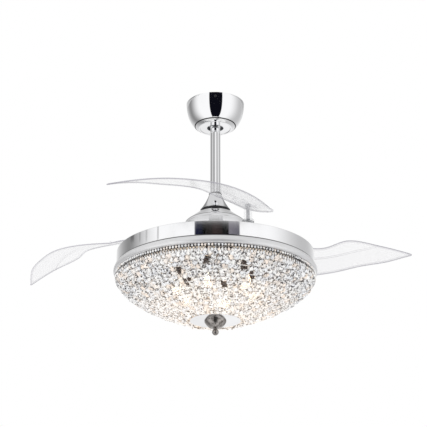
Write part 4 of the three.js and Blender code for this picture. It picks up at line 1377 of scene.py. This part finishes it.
# The holder's plate: a rounded square |x|^4 + |y|^4 = 1 under the blade.
def holderPlate():
    circles, around = holder["circles"], holder["plateAround"]
    angle = np.arange(around) * tau / around
    power = holder["corner"]
    reach = (np.abs(np.cos(angle)) ** power + np.abs(np.sin(angle)) ** power) ** -(1 / power)
    share = np.linspace(0, 1, circles)[:, None]
    u = holder["centre"][0] + share * reach * np.cos(angle) * holder["half"][0] * holder["inset"]
    v = holder["centre"][1] + share * reach * np.sin(angle) * holder["half"][1] * holder["inset"]
    half = holder["sheet"] / 2
    height = half * np.where(share < holder["inset"], 1.0, holder["edge"])[..., None]
    points = bothSides(bladeSurface(u, v), blade["thick"] / 2 + holder["gap"] + half, height)
    faces = quads(circles, around, wrapColumns=True)
    count = circles * around
    rim = np.arange(around) + count - around
    nextRim = np.roll(rim, -1)
    wall = np.stack([rim, rim + count, nextRim + count, nextRim], axis=1)
    return points, np.concatenate([faces, (faces + count)[:, ::-1], wall[:, ::-1]])


def makeHolder(side, spot, turn, body):
    node = "blade_holder_" + side
    foot = footOf(node) - spot[2]
    flangeFoot = topOf("return_spring_" + side) - spot[2] + holder["flangeLift"]
    flangeTop = flangeFoot + holder["flangeTall"]
    bore, boss, bossTop, flange = (holder[key] for key in ("bore", "boss", "bossTop", "flange"))
    profile = [(bore, foot), (boss, foot), (boss, flangeFoot), (flange, flangeFoot),
               (flange, flangeTop), (boss, flangeTop), (boss, bossTop), (bore, bossTop)]
    parts = [holderPlate(), turned(softened(profile, holder["bossEdge"]), holder["bossAround"])]
    stem, low = holder["rivetStem"], holder["rivetFoot"]
    seat = blade["thick"] / 2 + holder["rivetUnder"]
    head = [(across, seat + rise) for across, rise in holder["rivetHead"]]
    rivet = softened([(0, low), (stem, low), (stem, seat), *head], holder["rivetEdge"], 2, closed=False)
    for u, v in holder["rivets"]:
        points, faces = turned(rivet, holder["rivetAround"])
        parts.append((points + bladeSurface(np.array(u), np.array(v)), faces))
    points, faces = together(parts)
    made = piece("bladeHolder" + side.title(), placed(points, spot, turn), faces, body, clearAcrylic)
    made.visible_glossy = False
    standsFor(made, node)


pivot = dict(
    pin=0.004,
    head=0.007,
    headTall=0.003,
    nutTall=0.005,
    edge=0.0007,
    wire=0.0009,
    coil=0.0136,
    curls=4,
    curlSteps=40,
    around=48,
)


def makePivot(side, spot):
    node = "pivot_pin_" + side
    top, foot = topOf(node), footOf(node)
    pin, head = pivot["pin"], pivot["head"]
    headTop, nutFoot = foot + pivot["headTall"], top - pivot["nutTall"]
    profile = [(0, foot), (head, foot), (head, headTop), (pin, headTop),
               (pin, nutFoot), (head, nutFoot), (head, top), (0, top)]
    points, faces = turned(softened(profile, pivot["edge"], closed=False), pivot["around"], spot)
    standsFor(piece("pivotPin" + side.title(), points, faces, rotor, zinc), node)
    node = "return_spring_" + side
    wire, curls = pivot["wire"], pivot["curls"]
    top, foot = topOf(node) - wire, footOf(node) + wire
    angle = np.linspace(0, tau * curls, pivot["curlSteps"] * curls + 1)
    coil = circled(pivot["coil"], angle, foot + (top - foot) * angle / angle[-1])
    points, faces = tube(coil, wire)
    points = placed(points, (spot[0], spot[1], 0), math.radians(blade["azimuths"][side]))
    standsFor(piece("returnSpring" + side.title(), points, faces, rotor, zinc), node)


def makeBlades():
    skin, faces, numbers = bladeSkin()
    for side in blade["azimuths"]:
        azimuth = math.radians(blade["azimuths"][side])
        turn = azimuth - math.radians(blade["turnedIn"][side])
        away = blade["pivotRadius"]
        spot = (away * math.cos(azimuth), away * math.sin(azimuth), blade["height"])
        body = "blade_arm_" + side
        points = placed(skin, spot, turn)
        made = piece("blade" + side.title(), points, faces, body, clearAcrylic, blade["crease"], 0)
        for name, values in numbers.items():
            addNumbers(made, name, "POINT", values)
        made.visible_glossy = False
        standsFor(made, "blade_" + side)
        makeHolder(side, spot, turn, body)
        makePivot(side, spot)


makeBlades()
print("blades made")

# ---- stage: floor, background, studio and camera
stage = dict(floor=-4.2, halfFloor=40.0, light=(0.93, 0.93, 0.93), dull=(0.9, 0.9, 0.9), grain=(3.0, 3.0))


def makeFloor():
    half, height = stage["halfFloor"], stage["floor"]
    corners = [(-half, -half, height), (half, -half, height), (half, half, height), (-half, half, height)]
    mesh = bpy.data.meshes.new("floor")
    mesh.from_pydata(corners, [], [[0, 1, 2, 3]])
    floor = bpy.data.objects.new("floor", mesh)
    bpy.context.collection.objects.link(floor)
    material = bpy.data.materials.new("paleFloor")
    material.use_nodes = True
    shader = Shader(material.node_tree)
    grain = shader.noise(shader.add("TexCoord", output="Object"), *stage["grain"])
    colour = shader.mixed(grain, stage["light"], stage["dull"])
    shader.shown("Material", shader.add("BsdfDiffuse", inputs={"Color": colour}))
    mesh.materials.append(material)
    floor.visible_glossy = False


makeFloor()

# The world is white to the camera and through clear things. Glossy rays see a white studio, grey
# above and at both sides, with a dark gap at the front, where a camera would stand. What stands in
# the gap is at the height that the drum band reflects, and two dark poles show in the downrod.
# Directions are degrees from the front, positive to the right, or degrees up.
studio = dict(
    diffuse=0.92,
    gapLeft=-23.5,
    gapRight=27.5,
    gapFoot=-87.0,
    gapSoft=(1, 3),  # to the sides and at the foot
    gapDark=(0.004, 0.004, 0.008),
    above=20.88,  # where the band's reflections end and those of the upper cover start
    aboveSoft=0.03,
    aboveGrey=0.32,
    bandFoot=19.9,
    bandSoft=0.1,
    rodHeight=(21.62, 26.4),
    rodSoft=(0.05, 0.1),
    leftGrey=0.76,
    leftAt=(64.0, 122.0),
    leftEnd=(180.0, 112.0),
    rightGrey=0.46,
    rightAt=(58.0, 118.0),
    rightEnd=(180.0, 125.0),
    leastGrey=0.15,  # what is left of the side's grey straight behind
    limb=(128.0, 150.0, 160.0, 176.0),  # far round both sides, what the outlines of cone and dish reflect
    limbGrey=0.42,
    streaks=((-111.5, 3.4, 0.5), (-97.0, 1.2, 0.3), (-86.0, 1.2, 0.3), (-69.0, 1.0, 0.4)),
    streakSoft=(1.6, 0.6),
    # what stands in the gap, from its left to its right
    gapColours=((0.0, (0.01, 0.011, 0.035)), (0.16, (0.006, 0.007, 0.02)),
                (0.19, (0.0005, 0.0005, 0.0005)), (0.24, (0.0005, 0.0005, 0.0005)),
                (0.26, (0.012, 0.009, 0.008)), (0.38, (0.01, 0.007, 0.007)),
                (0.41, (0.03, 0.018, 0.017)), (0.6, (0.018, 0.011, 0.011)),
                (0.63, (0.0005, 0.0005, 0.0005)), (0.74, (0.0005, 0.0005, 0.001)),
                (0.77, (0.19, 0.18, 0.21)), (1.0, (0.13, 0.125, 0.15))),
    rodGreys=((-180, 0.8), (-130, 0.5), (-92, 0.26), (-65, 0.78), (-42, 0.4), (-21, 0.27),
              (-10, 0.8), (0, 0.95), (21, 0.85), (32, 0.5), (42, 0.22), (52, 0.6),
              (65, 0.95), (92, 0.55), (130, 0.4), (180, 0.7)),
)


# The grey of one side of the studio, whole at the side and little straight behind.
def sideShade(turn, start, end):
    least = studio["leastGrey"]
    return turn.ramped(*start) * (least + (1.0 - least) * turn.ramped(*end))


def makeWorld():
    world = bpy.data.worlds.new("studio")
    bpy.context.scene.world = world
    world.use_nodes = True
    shader = Shader(world.node_tree)
    x, y, z = shader.apart(shader.add("TexCoord", output="Generated"))
    degrees = 180 / math.pi
    azimuth = x.math("ARCTAN2", -y) * degrees
    elevation = z.math("ARCSINE") * degrees
    gapLeft, gapRight, gapFoot = studio["gapLeft"], studio["gapRight"], studio["gapFoot"]
    sideSoft, footSoft = studio["gapSoft"]
    above = elevation.ramped(studio["above"], studio["above"] + studio["aboveSoft"])
    gap = azimuth.ramped(gapLeft - sideSoft, gapLeft + sideSoft)
    gap = gap * azimuth.ramped(gapRight + sideSoft, gapRight - sideSoft)
    gap = gap * elevation.ramped(gapFoot - footSoft, gapFoot + footSoft) * (1.0 - above)
    left = sideShade(-azimuth, studio["leftAt"], studio["leftEnd"])
    right = sideShade(azimuth, studio["rightAt"], studio["rightEnd"])
    flanks = 1.0 - left * studio["leftGrey"] - right * studio["rightGrey"]
    start, whole, fading, end = studio["limb"]
    limb = abs(azimuth).ramped(start, whole) * abs(azimuth).ramped(end, fading)
    shade = flanks * (1.0 - above) + above * (1 - studio["aboveGrey"] - limb * studio["limbGrey"])
    band = elevation.ramped(studio["bandFoot"] - studio["bandSoft"], studio["bandFoot"]) * (1.0 - above)
    for middle, half, depth in studio["streaks"]:
        line = abs(azimuth - middle).ramped(*(half * soft for soft in studio["streakSoft"]))
        shade = shade * (1.0 - line * depth * band)
    across = (azimuth - gapLeft) / (gapRight - gapLeft)
    furniture = shader.add("ValToRGB", {"stops": studio["gapColours"]}, {"Fac": across.clamped()})
    dark = shader.mixed(band, studio["gapDark"], furniture)
    walls = shader.add("CombineColor", inputs={"Red": shade, "Green": shade, "Blue": shade})
    seen = shader.mixed(gap, walls, dark)
    greys = [(turn / 360 + 0.5, (grey, grey, grey)) for turn, grey in studio["rodGreys"]]
    poles = shader.add("ValToRGB", {"stops": greys}, {"Fac": azimuth / 360.0 + 0.5})
    (low, high), (lowSoft, highSoft) = studio["rodHeight"], studio["rodSoft"]
    atRod = elevation.ramped(low - lowSoft, low) * elevation.ramped(high + highSoft, high)
    seen = shader.mixed(atRod, seen, poles)
    rays = ("Glossy", "Camera", "Transmission")
    glossy, toCamera, refracted = (shader.add("LightPath", output="Is %s Ray" % ray) for ray in rays)
    plain = studio["diffuse"]
    base = shader.mixed((toCamera + refracted).clamped(), (plain, plain, plain), (1.0, 1.0, 1.0))
    colour = shader.mixed(glossy, base, seen)
    shader.shown("World", shader.add("Background", inputs={"Color": colour, "Strength": 1.0}))


makeWorld()

# two broad soft lamps: place, size and power, turned to the middle of the fan
lights = dict(key=((-1.6, -2.2, 1.3), 1.4, 22.0), rim=((2.0, 1.2, 0.6), 1.2, 10.0))
lightAim = (0, 0, -0.4)


def makeLights():
    for name, (spot, size, power) in lights.items():
        light = bpy.data.lights.new(name, "AREA")
        light.shape = "DISK"
        light.size = size
        light.energy = power
        source = bpy.data.objects.new(name, light)
        bpy.context.collection.objects.link(source)
        source.location = spot
        source.visible_glossy = False
        x, y, z = np.array(lightAim) - np.array(spot)
        source.rotation_euler = (math.atan2(math.hypot(x, y), -z), 0, math.atan2(y, x) - math.pi / 2)


makeLights()

camera = bpy.data.objects.new("camera", bpy.data.cameras.new("camera"))
bpy.context.collection.objects.link(camera)
camera.location = view["spot"]
camera.rotation_euler = (math.radians(90 + view["lift"]), 0, 0)
camera.data.lens = view["lens"]
camera.data.sensor_width = view["sensor"]
camera.data.clip_end = view["farthest"]
bpy.context.scene.camera = camera
bpy.context.scene.view_settings.view_transform = "Standard"
print("stage made")
